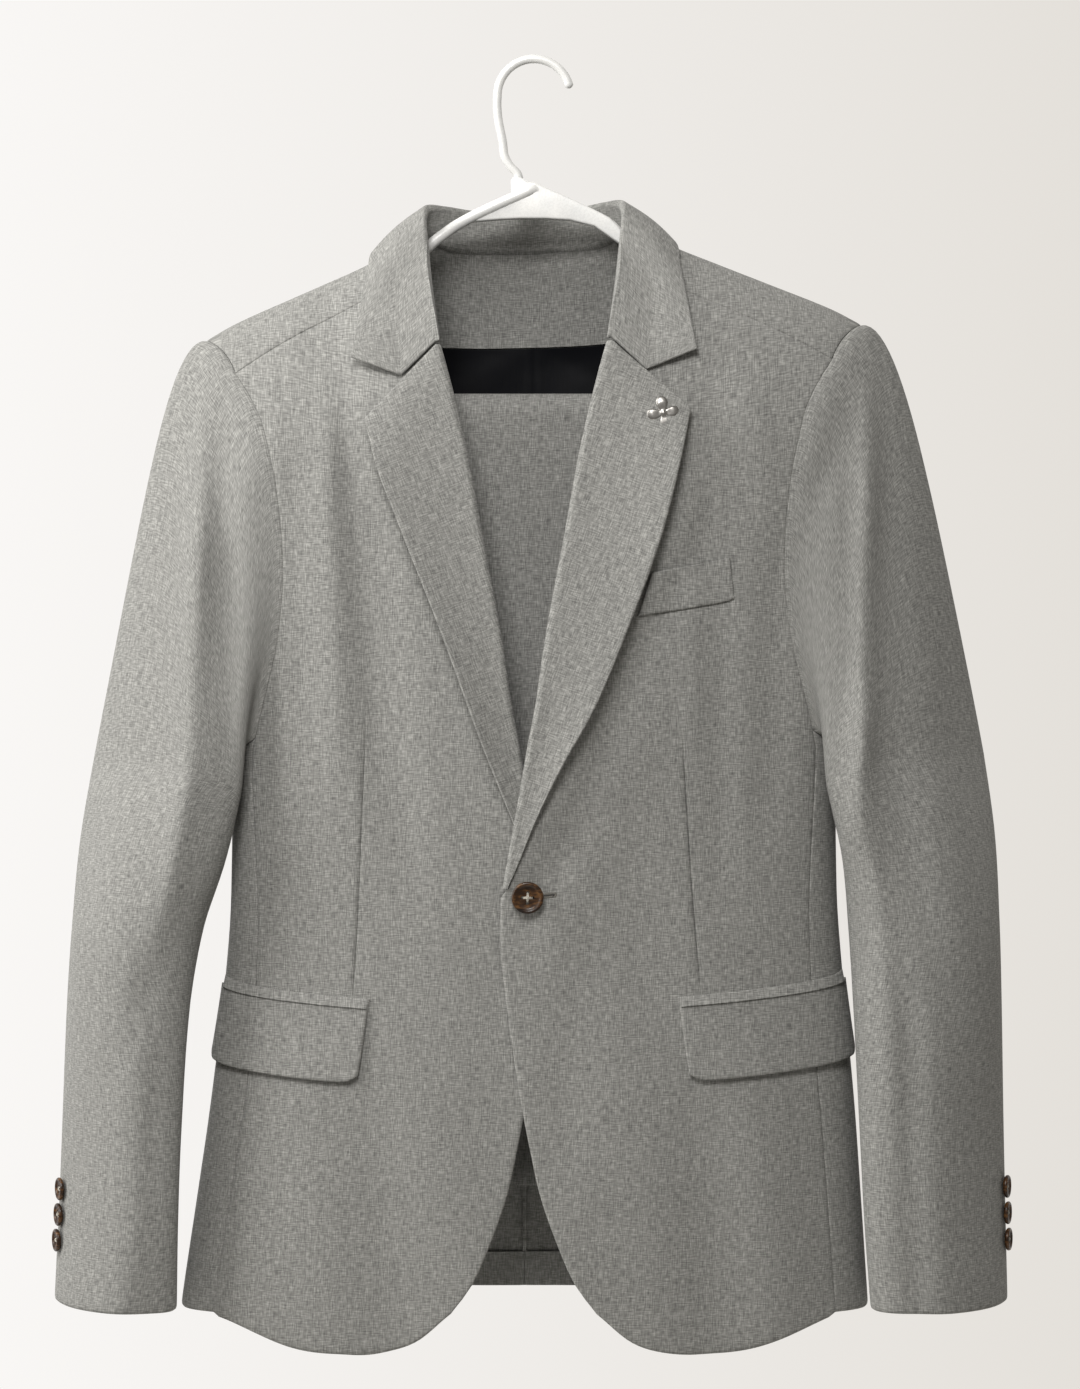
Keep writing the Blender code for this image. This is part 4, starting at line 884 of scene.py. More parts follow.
def back(side, tag):
    places = banded(trim(back_places(side)))
    p = drape(body(places[..., 0], places[..., 1]))
    cloth(f"back_{tag}", hang(p), (0, -60, -450),
          uv=grain(places[..., 0], places[..., 1], p[..., 2]),
          sewn=(to_hem(p[:, 0, 2], 1), to_hem(p[:, -1, 2], 1), 0, 0.6))


# ---- sleeves
Ring = namedtuple("Ring", "z outer inner mid depth lean")
SLEEVES = {1: (
    (-470, 299, 192, -4, 108, 40), (-520, 305, 202, -8, 107, 26),
    (-570, 307, 206, -11, 104, 14), (-620, 308, 209, -14, 100, 16),
    (-700, 309, 213, -17, 93, 22), (-760, 310, 216, -19, 90, 22),
    (-815, 311, 220, -20, 86, 18)), -1: (
    (-470, 294, 192, -4, 108, 40), (-520, 301, 203, -8, 107, 26),
    (-570, 305, 217, -11, 104, 14), (-620, 308, 225, -14, 100, 18),
    (-700, 311, 230, -17, 93, 24), (-760, 313, 232, -19, 90, 24),
    (-815, 315, 233, -20, 86, 19))}
SLEEVES = {side: [Ring(*row) for row in rows] for side, rows in SLEEVES.items()}
CAP_ROWS, ARM_ROWS = 6, 8
RING_POWER = 2.3
ARMPIT_DROP, ARMPIT_FADE = 12.0, 90.0
HIND_SEAM = ARM_FRONT_ROWS + ARM_BACK_ROWS - 2
Turn = namedtuple("Turn", "column high low")
TURNS = [
    Turn(0, 140, 170), Turn(ARM_FRONT_ROWS, 25, 62), Turn(HIND_SEAM, -102, -50),
    Turn(HIND_SEAM + 2, -140, -88), Turn(HIND_SEAM + 2 + SIDE_COLS, -220, -190),
]
WIND = 260.0            # the run over which the columns wind round to their low places
SPRING, SPREAD, CAP_FALL = 8.0, 0.085, 0.02     # how the cap springs from the armhole
CAP_IN, CAP_RISE = 0.06, 0.33                   # and how it meets the sleeve's first ring


def armhole_loop(side):
    over = armhole_back(side)[::-1]
    under = side_points(side)[-1][::-1]
    loop = [front_points(side, armhole_front(side)), body(over[:, 0], over[:, 1])[1:], under[1:]]
    return drape(np.concatenate(loop))


def loop_turns(low):
    columns, high, lows = (np.array([t[k] for t in TURNS], float) for k in range(3))
    places = np.arange(int(columns[-1]) * K + 1)
    return np.radians(np.interp(places, columns * K, mix(high, lows, low)))


def signed_power(wave):
    return np.abs(wave) ** (2 / RING_POWER) * np.sign(wave)


def ring_point(side, z, turn):
    outer, inner, mid, depth, lean = (read(SLEEVES[side], z, k) for k in range(1, 6))
    wide = (((outer - inner) / 2) ** 2 - lean ** 2) ** 0.5
    c, s = signed_power(np.cos(turn)), signed_power(np.sin(turn))
    high = np.clip(1 - (SLEEVES[side][0].z - z) / ARMPIT_FADE, 0, 1)
    dip = ARMPIT_DROP * high * np.cos(turn)
    return points(side * ((outer + inner) / 2 + wide * c - lean * s), mid - depth / 2 * s, z + dip)


SLEEVE_TURN = 26.0      # depth over which a sleeve's folds set in


def sleeve_folds(side, p, share):
    """Folds of one sleeve, none at the armhole's seam."""
    mid = read(SLEEVES[1], p[..., 2], 3)
    ahead = (ease((mid - p[..., 1]) / SLEEVE_TURN) * share)[..., None]
    rear = (ease((p[..., 1] - mid) / SLEEVE_TURN) * share)[..., None]
    moved = mix(p, folded(p, FOLDS_SLEEVE[side]), ahead)
    table = [f._replace(x1=side * f.x1, x2=side * f.x2) for f in FOLDS_SLEEVE_BACK]
    return mix(moved, folded(p, table, 1.0), rear)


def sleeve_grid(side):
    loop = armhole_loop(side)
    top, cuff = SLEEVES[side][0].z, SLEEVES[side][-1].z
    ring = ring_point(side, top, loop_turns(0.0))
    fall = (loop - ring)[:, 2:]
    a = loop + np.array([side * SEAM, 0, 0])
    b = loop + np.concatenate([side * (SPRING + SPREAD * fall), 0 * fall, CAP_FALL * fall], axis=1)
    c = ring + np.concatenate([-side * CAP_IN * fall, 0 * fall, CAP_RISE * fall], axis=1)
    rows = []
    for t in np.arange(CAP_ROWS * K) / (CAP_ROWS * K):
        s = 1 - t
        p = a * s ** 3 + b * 3 * s * s * t + c * 3 * s * t * t + ring * t ** 3
        rows.append(sleeve_folds(side, p, ease(t * 2.2) * np.ones(len(p))))
    for z in np.linspace(top, cuff, ARM_ROWS * K + 1):
        p = ring_point(side, z, loop_turns(ease((top - z) / WIND)))
        rows.append(sleeve_folds(side, p, np.ones(len(p))))
    return np.stack(rows)


def sleeve(side, tag):
    grid = sleeve_grid(side)
    seam = HIND_SEAM * K
    for part, columns, middle, flat, area in (
            ("top", slice(0, seam + 1), seam // 2, (0.27, 0.69), 0.135),
            ("under", slice(seam, None), 12, (0.15, 0.53), 0.057)):
        p = banded(trim(grid[:, columns]))
        across = lengths(p, 1)
        across = across - across[:, middle:middle + 1]
        down = lengths(p, 0).mean(axis=1, keepdims=True)
        cloth(f"sleeve_{part}_{tag}", hang(p), (side * 255, 0, -480),
              lining=SATIN, sewn=(1, 1, 0.5, -1),
              uv=np.stack([across + SLEEVE_APART * side, down + 0 * across], axis=-1))


# ---- collar and lapels
Stay = namedtuple("Stay", "roll edge neck stand dip")
STAYS = [
    Stay((0, 33, -94), (0, 53, -140), (0, 57, 0), (0, 61.5, 0), 0),
    Stay((30, 29, -93), (42, 48, -139), (30, 49, 0), (31, 53, 0), 0),
    Stay((51, 17, -91), (76, 33, -135), (53, 34, 0), (55, 38, 0), 0),
    Stay((62, 4, -92), (99, 0, -121.5), (71, 6, 0), (73.5, 7, 0), 0),
    Stay((64, -11, -101), (103, -30, -142), (75, -16, 0), (79, -16, 0), 0),
    Stay((62.5, -25, -120), (106, -42, -160), (79, -44, 0), (85, -44, 0), 2),
    Stay((60, -38, -144), (109, -52, -179), (67, -62, 0), (74, -62, 0), 8),
    Stay((53.5, -56.5, -188), (112, -58, -196), (57, -88, 0), (61, -87, 0), 18),
]
FOLD = 3.3                  # radius of the roll at the top of collar and lapels
SHOULDER_ROW = 4.1          # the row of stays at the shoulder, where the stand lies deeper
STAND_DEEPER, DEEPER_REACH = 2.3, 1.6
GORGE_TURN_FROM = 5.4       # from this row on, the collar comes to lie level on the fronts
NOTCH_SHARE = 0.4           # where the notch's dip is deepest, in shares of the leaf's width
LEAF_LIFT = ROOM + WALL
UNDER = WALL + ROOM + WALL
FOLD_STEPS, LEAF_STEPS = 14, 20


def along(rows, at):
    """Smooth vector value of a list of rows at a row number with a fraction."""
    i = int(min(max(at, 0), len(rows) - 1.001))
    a, b, c, d = (np.array(rows[k], float)
                  for k in (abs(i - 1), i, i + 1, min(i + 2, len(rows) - 1)))
    if i == 0:
        a = a * (-1, 1, 1)      # the row beyond the middle is the mirror of the first
    return spline(a, b, c, d, at - i)


def collar_row(side, at):
    def placed(column):
        x, y, z = along([getattr(s, column) for s in STAYS], at)
        return np.array([side * x + NECK_X, y, z])

    def under(column):
        p = along([getattr(s, column) for s in STAYS], at)
        deeper = STAND_DEEPER * ease(1 - abs(at - SHOULDER_ROW) / DEEPER_REACH)
        return body_out(side * p[0] + NECK_X, p[1], -UNDER - deeper)

    roll = placed("roll")
    edge = clear_of_body(placed("edge"), LEAF_LIFT)
    neck, stand = under("neck"), under("stand")
    dip = along([(s.dip, 0, 0) for s in STAYS], at)[0]
    crest = unit(roll - (stand + edge) / 2)
    across = edge - stand
    out = unit(across - crest * (across @ crest))
    level = ease((at - GORGE_TURN_FROM) / (len(STAYS) - 1 - GORGE_TURN_FROM))
    crest = unit(mix(crest, np.array([-side, 0, 0]), level))
    out = unit(mix(out, np.array([0, -1, 0]), level))
    heart = roll - crest * FOLD
    heart[1] = mix(heart[1], front_y(heart[0], heart[2]) + WALL / 2, level)
    turn = np.linspace(0, pi, FOLD_STEPS + 1)[:, None]
    bend = heart + (crest * np.sin(turn) - out * np.cos(turn)) * FOLD
    lift = clear_of_body(bend, LEAF_LIFT - level * 0.6)
    bend = np.where(turn > 0.6 * pi, lift, bend)
    share = np.linspace(0, 1, LEAF_STEPS + 1)[1:, None]
    tent = np.where(share <= NOTCH_SHARE, share / NOTCH_SHARE, (1 - share) / (1 - NOTCH_SHARE))
    leaf = mix(bend[-1], edge, share) + out * 2.0 * np.sin(pi * share)
    leaf = clear_of_body(leaf - np.array([0, 0, 1]) * dip * tent, LEAF_LIFT)
    inner = np.stack([stand, mix(stand, neck, 0.5), neck, mix(neck, bend[0], 0.5)])
    return np.concatenate([inner, bend, leaf])


def collar():
    last = len(STAYS) - 1
    count = last * 8
    rows = [collar_row(-1, last * k / count) for k in range(count, 0, -1)]
    rows += [collar_row(1, last * k / count) for k in range(count + 1)]
    p = banded(np.stack(rows), (0, 1, 1, 1))
    cloth("collar", hang(drape(p)), (NECK_X, 0, -400),
          sewn=(0.8, -1, -0.8, -0.8))


LAPEL_EDGE_LEFT = [(108, -234), (102, -263), (90, -311), (74.5, -356), (48.5, -420), (23.5, -465),
                   (8, -497), (-3, -524), (-10.5, -541)]
LAPEL_EDGE_RIGHT = [(103, -236), (94, -269), (80, -306), (54, -372), (27, -446), (7, -497),
                    (-3, -524), (-10.5, -541)]
LEAD_TOP, LEAD_LOW = 11.0, 6.0
LAPEL_END = (-13.6, -541)
GORGE_GAP, GORGE_RUN = 0.5, 12.0
LAPEL_GRAIN = 20.0          # degrees that the lapels' threads lean outward
LAPEL_LIFT = 9.0            # how far the edge curls off the front at the middle of its length
LAPEL_ROWS = 90


def lapel(side, edge_table, tag):
    rolls = walk(([LAPEL_END] + ROLL_LINE[1:])[::-1], LAPEL_ROWS)
    edges = walk(edge_table, LAPEL_ROWS)
    down = np.arange(LAPEL_ROWS + 1) / LAPEL_ROWS
    bulk = ease((1 - down) * 2.2)
    lead = mix(LEAD_TOP, LEAD_LOW, down)
    low = -(WALL + LOOSE + WALL + 0.8 * bulk)
    high = LOOSE + WALL + 2.2 * bulk
    heart, width = (low + high) / 2, 0.5 * (high - low)
    roll_x, roll_z = rolls.T

    def at(x, z, out):
        x = side * x + NECK_X
        return points(x, front_face(side, x, z) - out, z)

    cols = [at(roll_x + mix(lead, FOLD, s), roll_z, low) for s in (0, 0.3, 0.6, 0.85)]
    cols += [at(roll_x + FOLD * (1 - np.sin(turn)), roll_z, heart - width * np.cos(turn))
             for turn in np.linspace(0, pi, FOLD_STEPS + 1)]
    for share in np.linspace(0, 1, LEAF_STEPS + 1)[1:]:
        x, z = mix(roll_x + FOLD, edges[:, 0], share), mix(roll_z, edges[:, 1], share)
        curl = LAPEL_LIFT * share ** 2 * ease(down * 5 + 0.42) * ease((1 - down) * 2.5)
        cols.append(at(x, z, LOOSE + WALL + bulk * (0.8 + 1.4 * (1 - share) ** 2) + curl))
    p = banded(np.stack(cols, axis=1), (0, 1, 1, 1))
    p[..., 2] -= GORGE_GAP * ease(1 - lengths(p, 0) / GORGE_RUN)
    lean = side * radians(LAPEL_GRAIN)
    uv = np.stack([p[..., 0] * np.cos(lean) - p[..., 2] * np.sin(lean) + LAPEL_APART * side,
                   p[..., 0] * np.sin(lean) + p[..., 2] * np.cos(lean)], axis=-1)
    cloth(f"lapel_{tag}", hang(drape(p)), (side * 60 + NECK_X, 40, -350),
          uv=uv, sewn=(0, -1, -0.8, 0))


# ---- pockets, facing, lining and hem
FLAP_Z = [(-618, -604), (-667, -653)]
FLAP_INNER = (99.5, 105)
FLAP_END = 0.472
FLAP_LONG, FLAP_CORNER = 110, 7.5       # the flap's length, and how far its corners are rounded
JET_HIGH = 6.0
STRIP_COLS = 44


def pocket_strip(side, tag, kind, heights, inner, lifts, rows, wall=WALL, corner=0.0,
                 sewn=(0, 0, 0, 0), outer_lift=1.0):
    v, u = shares_over(rows, STRIP_COLS)
    top, low = heights
    ends = np.minimum(u, 1 - u) * FLAP_LONG
    z = mix(mix(top[0], top[1], u), mix(low[0], low[1], u), v)
    z = z + corner * v ** 3 * (1 - np.clip(ends / FLAP_CORNER, 0, 1)) ** 2
    start = side * mix(inner[0], inner[1], v) + NECK_X + 0 * u
    place = mix(girth_place(start, z), FLAP_END, u)
    lift = mix(lifts[0], lifts[1], v) * mix(1.0, outer_lift, ease((u - 0.86) / 0.14))
    p = banded(girth(side, place, z, lift))
    cloth(f"{kind}_{tag}", hang(drape(p)), (0, 0, -630),
          wall, uv=p[..., [0, 2]] + np.array([FLAP_APART * side, 3.0]), sewn=sewn)


def hip_pocket(side, tag):
    pocket_strip(side, tag, "flap", FLAP_Z, FLAP_INNER, (CLEAR + WALL, CLEAR + WALL + 2.0), 14,
                 corner=5.0, sewn=(-1, -1, 0, -1))
    top = FLAP_Z[0]
    heights = [z + JET_HIGH for z in top], [z - 0.4 for z in top]
    pocket_strip(side, tag, "jet", heights, (FLAP_INNER[0] - 1, FLAP_INNER[0]),
                 (THIN + 0.3, CLEAR + WALL + THIN + 0.3), 5, THIN,
                 sewn=(0.9, 0.9, 0.7, 0), outer_lift=0.3)


WELT = [(67, -368), (120, -360), (129.5, -357)], [(76, -340), (126, -331)]
WELT_ROWS, WELT_COLS = 12, 30


def chest_welt():
    low, high = (walk(line, WELT_COLS) for line in WELT)
    share = np.linspace(0, 1, WELT_ROWS + 1)[:, None]
    p = mix(low[None], high[None], share[..., None])
    out = CLEAR + THIN + mix(0.3, 1.9, share)
    p = banded(points(p[..., 0], front_face(1, p[..., 0], p[..., 1]) - out, p[..., 1]))
    cloth("chest_welt", hang(drape(p)), (100, 60, -350),
          wall=THIN, uv=p[..., [0, 2]] + np.array([0, 1.0]),
          sewn=(0.6, 0.9, 0.9, -0.8))


INSIDE = WALL + 2.3 + THIN
FACING_TOP, FACING_LOW, FACING_SAG = -115.0, -178.0, 4.5
NECK_SAG = 5.8
LINING_LOW = -430.0
HEM_TURN, HEM_REACH = 23.0, 188.0
PLEAT_X, PLEAT_FADE = -1.0, 34.0
INNER_COLS = 60


def inner_back(node_name, top, low, face, rows, pleat=0.0, slip=0.0):
    """Cloth against the inside of the back; top and low are height, half width and sag."""
    v, u = shares_over(rows, INNER_COLS)
    half = mix(top[1], low[1], v)
    x = NECK_X + mix(-half, half, u)
    if pleat:
        x = x + (PLEAT_X - NECK_X) * np.exp(-((x - NECK_X) / 20) ** 2)
    z = mix(top[0], low[0], v) - mix(top[2], low[2], v) * np.sin(pi * u)
    p = body_out(x, run_of(x, z, BACK), slip * ease((0.16 - v) / 0.09) - INSIDE + 0 * x)
    past = x - PLEAT_X
    p[..., 1] -= pleat * (1 / (1 + np.exp(-past / 0.9))) * np.exp(-np.maximum(0, past) / PLEAT_FADE)
    p[..., 1] -= pleat * 0.5 * np.sin((x - 0.35 * z) / 16) * ease((top[0] - z) / 20)
    cloth(node_name, hang(banded(p)), (0, 90, (top[0] + low[0]) / 2),
          wall=THIN, face=face)


def back_inside():
    inner_back("back_neck_facing", (FACING_TOP, 62, NECK_SAG), (FACING_LOW, 92, FACING_SAG), WOOL,
               18, slip=1.6)
    inner_back("back_lining", (FACING_LOW - 0.8, 92, FACING_SAG), (LINING_LOW, 150, 0.0), SATIN,
               60, pleat=2.0)
    for side, tag in SIDES:
        u = np.linspace(0, 1, INNER_COLS + 1)[None, :]
        z = np.linspace(BACK_HEM_Z + 0.3, BACK_HEM_Z + HEM_TURN, 9)[:, None] + 0 * u
        x = NECK_X + side * mix(0.2, HEM_REACH, u) + 0 * z
        p = body_out(x, run_of(x, z, BACK), np.full_like(x, -(WALL + 0.5 + THIN)))
        cloth(f"back_hem_{tag}", hang(drape(banded(p))), (0, 90, BACK_HEM_Z),
              wall=THIN)


# ---- buttons, stitches and pin
Button = namedtuple("Button", "radius high rim hole spread")
FRONT_BUTTON = Button(10.3, 3.6, 1.6, 1.1, 2.3)
CUFF_BUTTON = Button(7.5, 3.2, 1.3, 0.9, 1.8)


def spun(name, profile, steps):
    """A closed body turned round Z: the profile runs from axis to axis, in millimetres."""
    bpy.ops.mesh.primitive_plane_add(size=1)
    obj = bpy.context.object
    edit(obj, (bpy.ops.mesh.delete, {"type": "VERT"}))
    obj.data.from_pydata([(r * MM, 0, z * MM) for r, z in profile],
                         [(k, k + 1) for k in range(len(profile) - 1)], [])
    turn = {"steps": steps, "angle": 2 * pi, "center": (0, 0, 0), "axis": (0, 0, 1)}
    weld(obj, 0.005, (bpy.ops.mesh.spin, turn))
    obj.name = name
    return obj


def stand_on(obj, point, normal, turn=0.0):
    """Turn a piece built along +Z to the normal, and set its back at the point."""
    obj.rotation_mode = "QUATERNION"
    facing = Vector(normal).to_track_quat("Z", "Y") @ Quaternion((0, 0, 1), turn)
    obj.rotation_quaternion = facing
    obj.location = Vector(point) * MM
    only(obj)
    bpy.ops.object.transform_apply(location=True, rotation=True, scale=True)


CAPS = ((0.999, 0.6), (0.5, 0.45))      # a tube's closing rings: share drawn in, share run on


def tube_along(route, radius, sides=8):
    """A round tube along a route of points, in millimetres, with closed ends."""
    route = np.array(route, float)
    ahead = unit(np.gradient(route, axis=0))
    aside = unit(np.cross(ahead[0], [0.3, 1.0, 0.2])[None])[0]
    turn = 2 * pi * np.arange(sides + 1)[:, None] / sides
    rings = []
    for point, way in zip(route, ahead):
        aside = unit((aside - way * (aside @ way))[None])[0]
        rings.append(point + radius * (np.cos(turn) * aside + np.sin(turn) * np.cross(way, aside)))
    first, last = ([rings[k] * (1 - s) + route[k] * s + way * ahead[k] * radius * rise
                    for s, rise in CAPS] for k, way in ((0, -1), (-1, 1)))
    obj = gridded(np.stack(first + rings + last[::-1]))
    weld(obj, 0.002 * radius + 0.00001)
    return obj


BUTTON_SHAPE = ((0, 0, 0), (0.72, 0, 0), (0.86, 0, 0.12), (0.97, 0, 0.36), (1, 0, 0.56),
                (0.985, 0, 0.8), (1, 0.5, 0.97), (1, 0.9, 1), (1, 1.25, 0.95), (1, 1.7, 0.76),
                (1, 2.2, 0.66), (0.5, 0, 0.62), (0, 0, 0.6))    # shares of radius, rim and height
SHANK_SHAPE = ((0, -0.9), (1.6, -0.9), (1.2, -0.1), (1.5, 0.4), (0, 0.5))
STRAND_STEPS = 8


def button(name, kind, point, normal, turn):
    """A turned four-hole button with a raised rim, and its crossed stitches."""
    r, h, s = kind.radius, kind.high, kind.spread
    disc = spun(name, [(a * r - b * kind.rim, c * h) for a, b, c in BUTTON_SHAPE], 64)
    for x, y in ((-s, -s), (-s, s), (s, -s), (s, s)):
        bpy.ops.mesh.primitive_cylinder_add(vertices=20, radius=kind.hole * MM, depth=3 * h * MM,
                                            location=(x * MM, y * MM, 0))
        hole = bpy.context.object
        cut = disc.modifiers.new("hole", "BOOLEAN")
        cut.operation = "DIFFERENCE"
        cut.object = hole
        apply_modifiers(disc)
        bpy.data.objects.remove(hole)
    bevel(disc, 0.15, 2, 55)
    apply_modifiers(disc)
    smooth(disc, 40)
    stand_on(disc, point, normal, turn)
    settle_piece(disc, f"{name}_horn", HORN, "horn_button", name)
    strands = []
    for lean in (1, -1):
        for k in (-1, 0, 1):
            shift = np.array([-lean, 1, 0]) * 0.17 * k * kind.hole * 1.9
            a = np.array([-s, -s * lean, 0.6 * h - 1.0]) + shift
            b = np.array([s, s * lean, 0.6 * h - 1.0]) + shift
            high = 1.55 + 0.25 * (lean < 0)
            route = [mix(a, b, j / STRAND_STEPS) + [0, 0, high * np.sin(pi * j / STRAND_STEPS)]
                     for j in range(STRAND_STEPS + 1)]
            strands.append(tube_along(route, 0.24 * kind.hole))
    threads = joined(strands + [spun("shank", SHANK_SHAPE, 16)])
    smooth(threads)
    stand_on(threads, point, normal, turn)
    settle_piece(threads, f"{name}_thread", BUTTON_THREAD, "wool_suiting")


FRONT_BUTTON_AT = (-4, -547)
FRONT_BUTTON_TURN = radians(43)
CUFF_BUTTONS_Z = (-741, -758, -775)
CUFF_BUTTON_TURN = radians(-12)
CUFF_TURNS = {1: (0.3, 0.05, -0.2), -1: (0.15, -0.3, 0.4)}


def on_front(x, z, out):
    return hang(drape(points(x, front_face(1, x, z) - out, z)))


def buttons():
    x, z = FRONT_BUTTON_AT
    face = min(front_face(1, x + dx, z + dz) for dx in (-9, 0, 9) for dz in (-9, 0, 9))
    button("front_button", FRONT_BUTTON, hang(points(x, face - CLEAR - 0.4, z)), (0.03, -1, 0),
           FRONT_BUTTON_TURN)
    spots = np.array([CUFF_BUTTON_TURN, CUFF_BUTTON_TURN + radians(2)])
    for side, tag in SIDES:
        for k, (z, turn) in enumerate(zip(CUFF_BUTTONS_Z, CUFF_TURNS[side])):
            at, beside = sleeve_folds(side, ring_point(side, z, spots), np.ones(2))
            normal = unit(np.array([(beside - at)[1], -(beside - at)[0], 0]))
            normal = normal if normal[0] * side > 0 else -normal
            button(f"sleeve_button_{tag}_{k + 1}", CUFF_BUTTON, hang(at + normal * 0.8), normal,
                   turn)


def sewing(name, routes, radius=0.3, sides=6, material=SEWING_THREAD):
    """One piece of the stitches laid along the routes."""
    made = joined([tube_along(route, radius, sides) for route in routes])
    smooth(made)
    settle_piece(made, name, material, "wool_suiting")


STITCH, STITCH_GAP = 1.9, 1.5


def welt_stitches():
    """Small straight stitches that hold the welt's outer end."""
    line = np.array([on_front(mix(124.2, 127.6, s), mix(-333, -356, s), 2.0)
                     for s in np.linspace(0, 1, 6)])
    fine = walk(line, int(lengths(line, 0)[-1] / (STITCH + STITCH_GAP)) * 2)
    sewing("welt_end_stitches",
           [[a + [0, 0.3, 0], mix(a, b, 0.2) - [0, 0.1, 0], (a + b) / 2 - [0, 0.12, 0],
             mix(a, b, 0.8) - [0, 0.1, 0], b + [0, 0.3, 0]]
            for a, b in zip(fine[::2], fine[1::2])], 0.22)


HOLE_START, HOLE_WAY, HOLE_REACH = (-6.0, -547.4), (0.995, 0.1), 19.0
BAR_GAP, BAR_LONG = 0.62, 1.15


def buttonhole():
    """A worked hole: bars of silk thread side by side round a slit, with an eye at its end; the
    open slit and eye are painted shade, a dark tube along the slit and a dark blob at the eye.
    """
    start, way = np.array(HOLE_START), np.array(HOLE_WAY)
    way = way / np.linalg.norm(way)
    aside = np.array([-way[1], way[0]])
    end = start + way * HOLE_REACH
    bars = [[start + way * s + aside * sign * off for off in (0.35, BAR_LONG + 0.55)]
            for sign in (1, -1) for s in np.arange(0, HOLE_REACH, BAR_GAP)]
    for turn in np.linspace(-pi / 2, pi / 2, 9)[1:-1]:
        out = way * np.cos(turn) + aside * np.sin(turn)
        bars.append([end + out * 0.5, end + out * (BAR_LONG + 0.75)])
    arch = ((0, -0.1), (0.25, 0.32), (0.5, 0.42), (0.75, 0.32), (1, -0.1))     # share, height
    sewing("front_buttonhole",
           [[on_front(*mix(a, b, s), high) for s, high in arch] for a, b in bars])
    # Painted shade of the cut opening: a dark tube along the slit and a short thick one at the eye.
    slit = [on_front(*(start + way * s), 0.12) for s in np.linspace(0, HOLE_REACH - 0.4, 12)]
    eye = [on_front(*(end + way * s), 0.1) for s in (-0.5, 0.2)]
    slit_shade_tube = joined([tube_along(slit, 0.42, 8), tube_along(eye, 0.85, 10)])
    smooth(slit_shade_tube)
    settle_piece(slit_shade_tube, "front_buttonhole_slit_shade", SLIT_SHADE_THREAD, "wool_suiting")


PIN_AT = (83, -238)
PETAL_AT, PETAL_RADIUS, PIN_HEART, PIN_HIGH = 7.2, 4.3, 4.0, 3.0
PIN_COUNT, PIN_RINGS = 144, 18


def lapel_pin():
    """A small cast flower: four round petals that swell to their ends, with a bead between."""
    turn = 2 * pi * np.arange(PIN_COUNT + 1) / PIN_COUNT
    off = (turn + pi / 4) % (pi / 2) - pi / 4
    room = np.maximum(PETAL_RADIUS ** 2 - (PETAL_AT * np.sin(off)) ** 2, 0) ** 0.5
    rim = np.maximum(np.where(room > 0, PETAL_AT * np.cos(off) + room, 0), PIN_HEART)
    soft = np.exp(-(np.arange(-6, 7) / 3.0) ** 2)
    rim = np.convolve(np.concatenate([rim[-7:-1], rim, rim[1:7]]), soft / soft.sum(), "valid")
    share = np.linspace(0.001, 1, PIN_RINGS)[:, None]
    r = rim[None] * share
    swell = (1 - share ** 2.4) ** 0.5 * (0.5 + 0.5 * np.clip(r / PETAL_AT, 0, 1))
    crown = swell + 0.45 * np.exp(-(r / 1.6) ** 2)
    top = np.stack([r * np.cos(turn), r * np.sin(turn), 0.5 + PIN_HIGH * crown], axis=-1)
    top[-1, :, 2] = 0.3
    rim_low, back = top[-1:].copy(), top[:1].copy()
    rim_low[..., 2], back[..., 2] = 0.15, 0.0
    obj = gridded(np.concatenate([top, rim_low, back]))
    weld(obj)
    smooth(obj, 40)
    x, z = PIN_AT
    face = min(front_face(1, x + dx, z + dz) for dx in (-9, 9) for dz in (-9, 9))
    stand_on(obj, hang(points(x, face - LOOSE - WALL - 1.0 - CLEAR, z)), (0.05, -1, 0.02), 0.14)
    settle_piece(obj, "lapel_pin_flower", SILVER, "silver_pin", "lapel_pin")


# ---- trousers
BAR_Z, BAR_RADIUS = -231.8, 4.0
LEG = 4.2
LEG_FRONT_LOW, LEG_BACK_LOW = -739.0, -700.0
LEG_HALF = [(-1.0, 96), (0.0, 109), (1.0, 122)]
LEG_CLOSE, CLOSE_RUN = 3.0, 120.0       # how far and over what run the legs close below the bar
BAND_HIGH, BAND_THICK, BAND_ROWS = 38.0, 7.5, 12


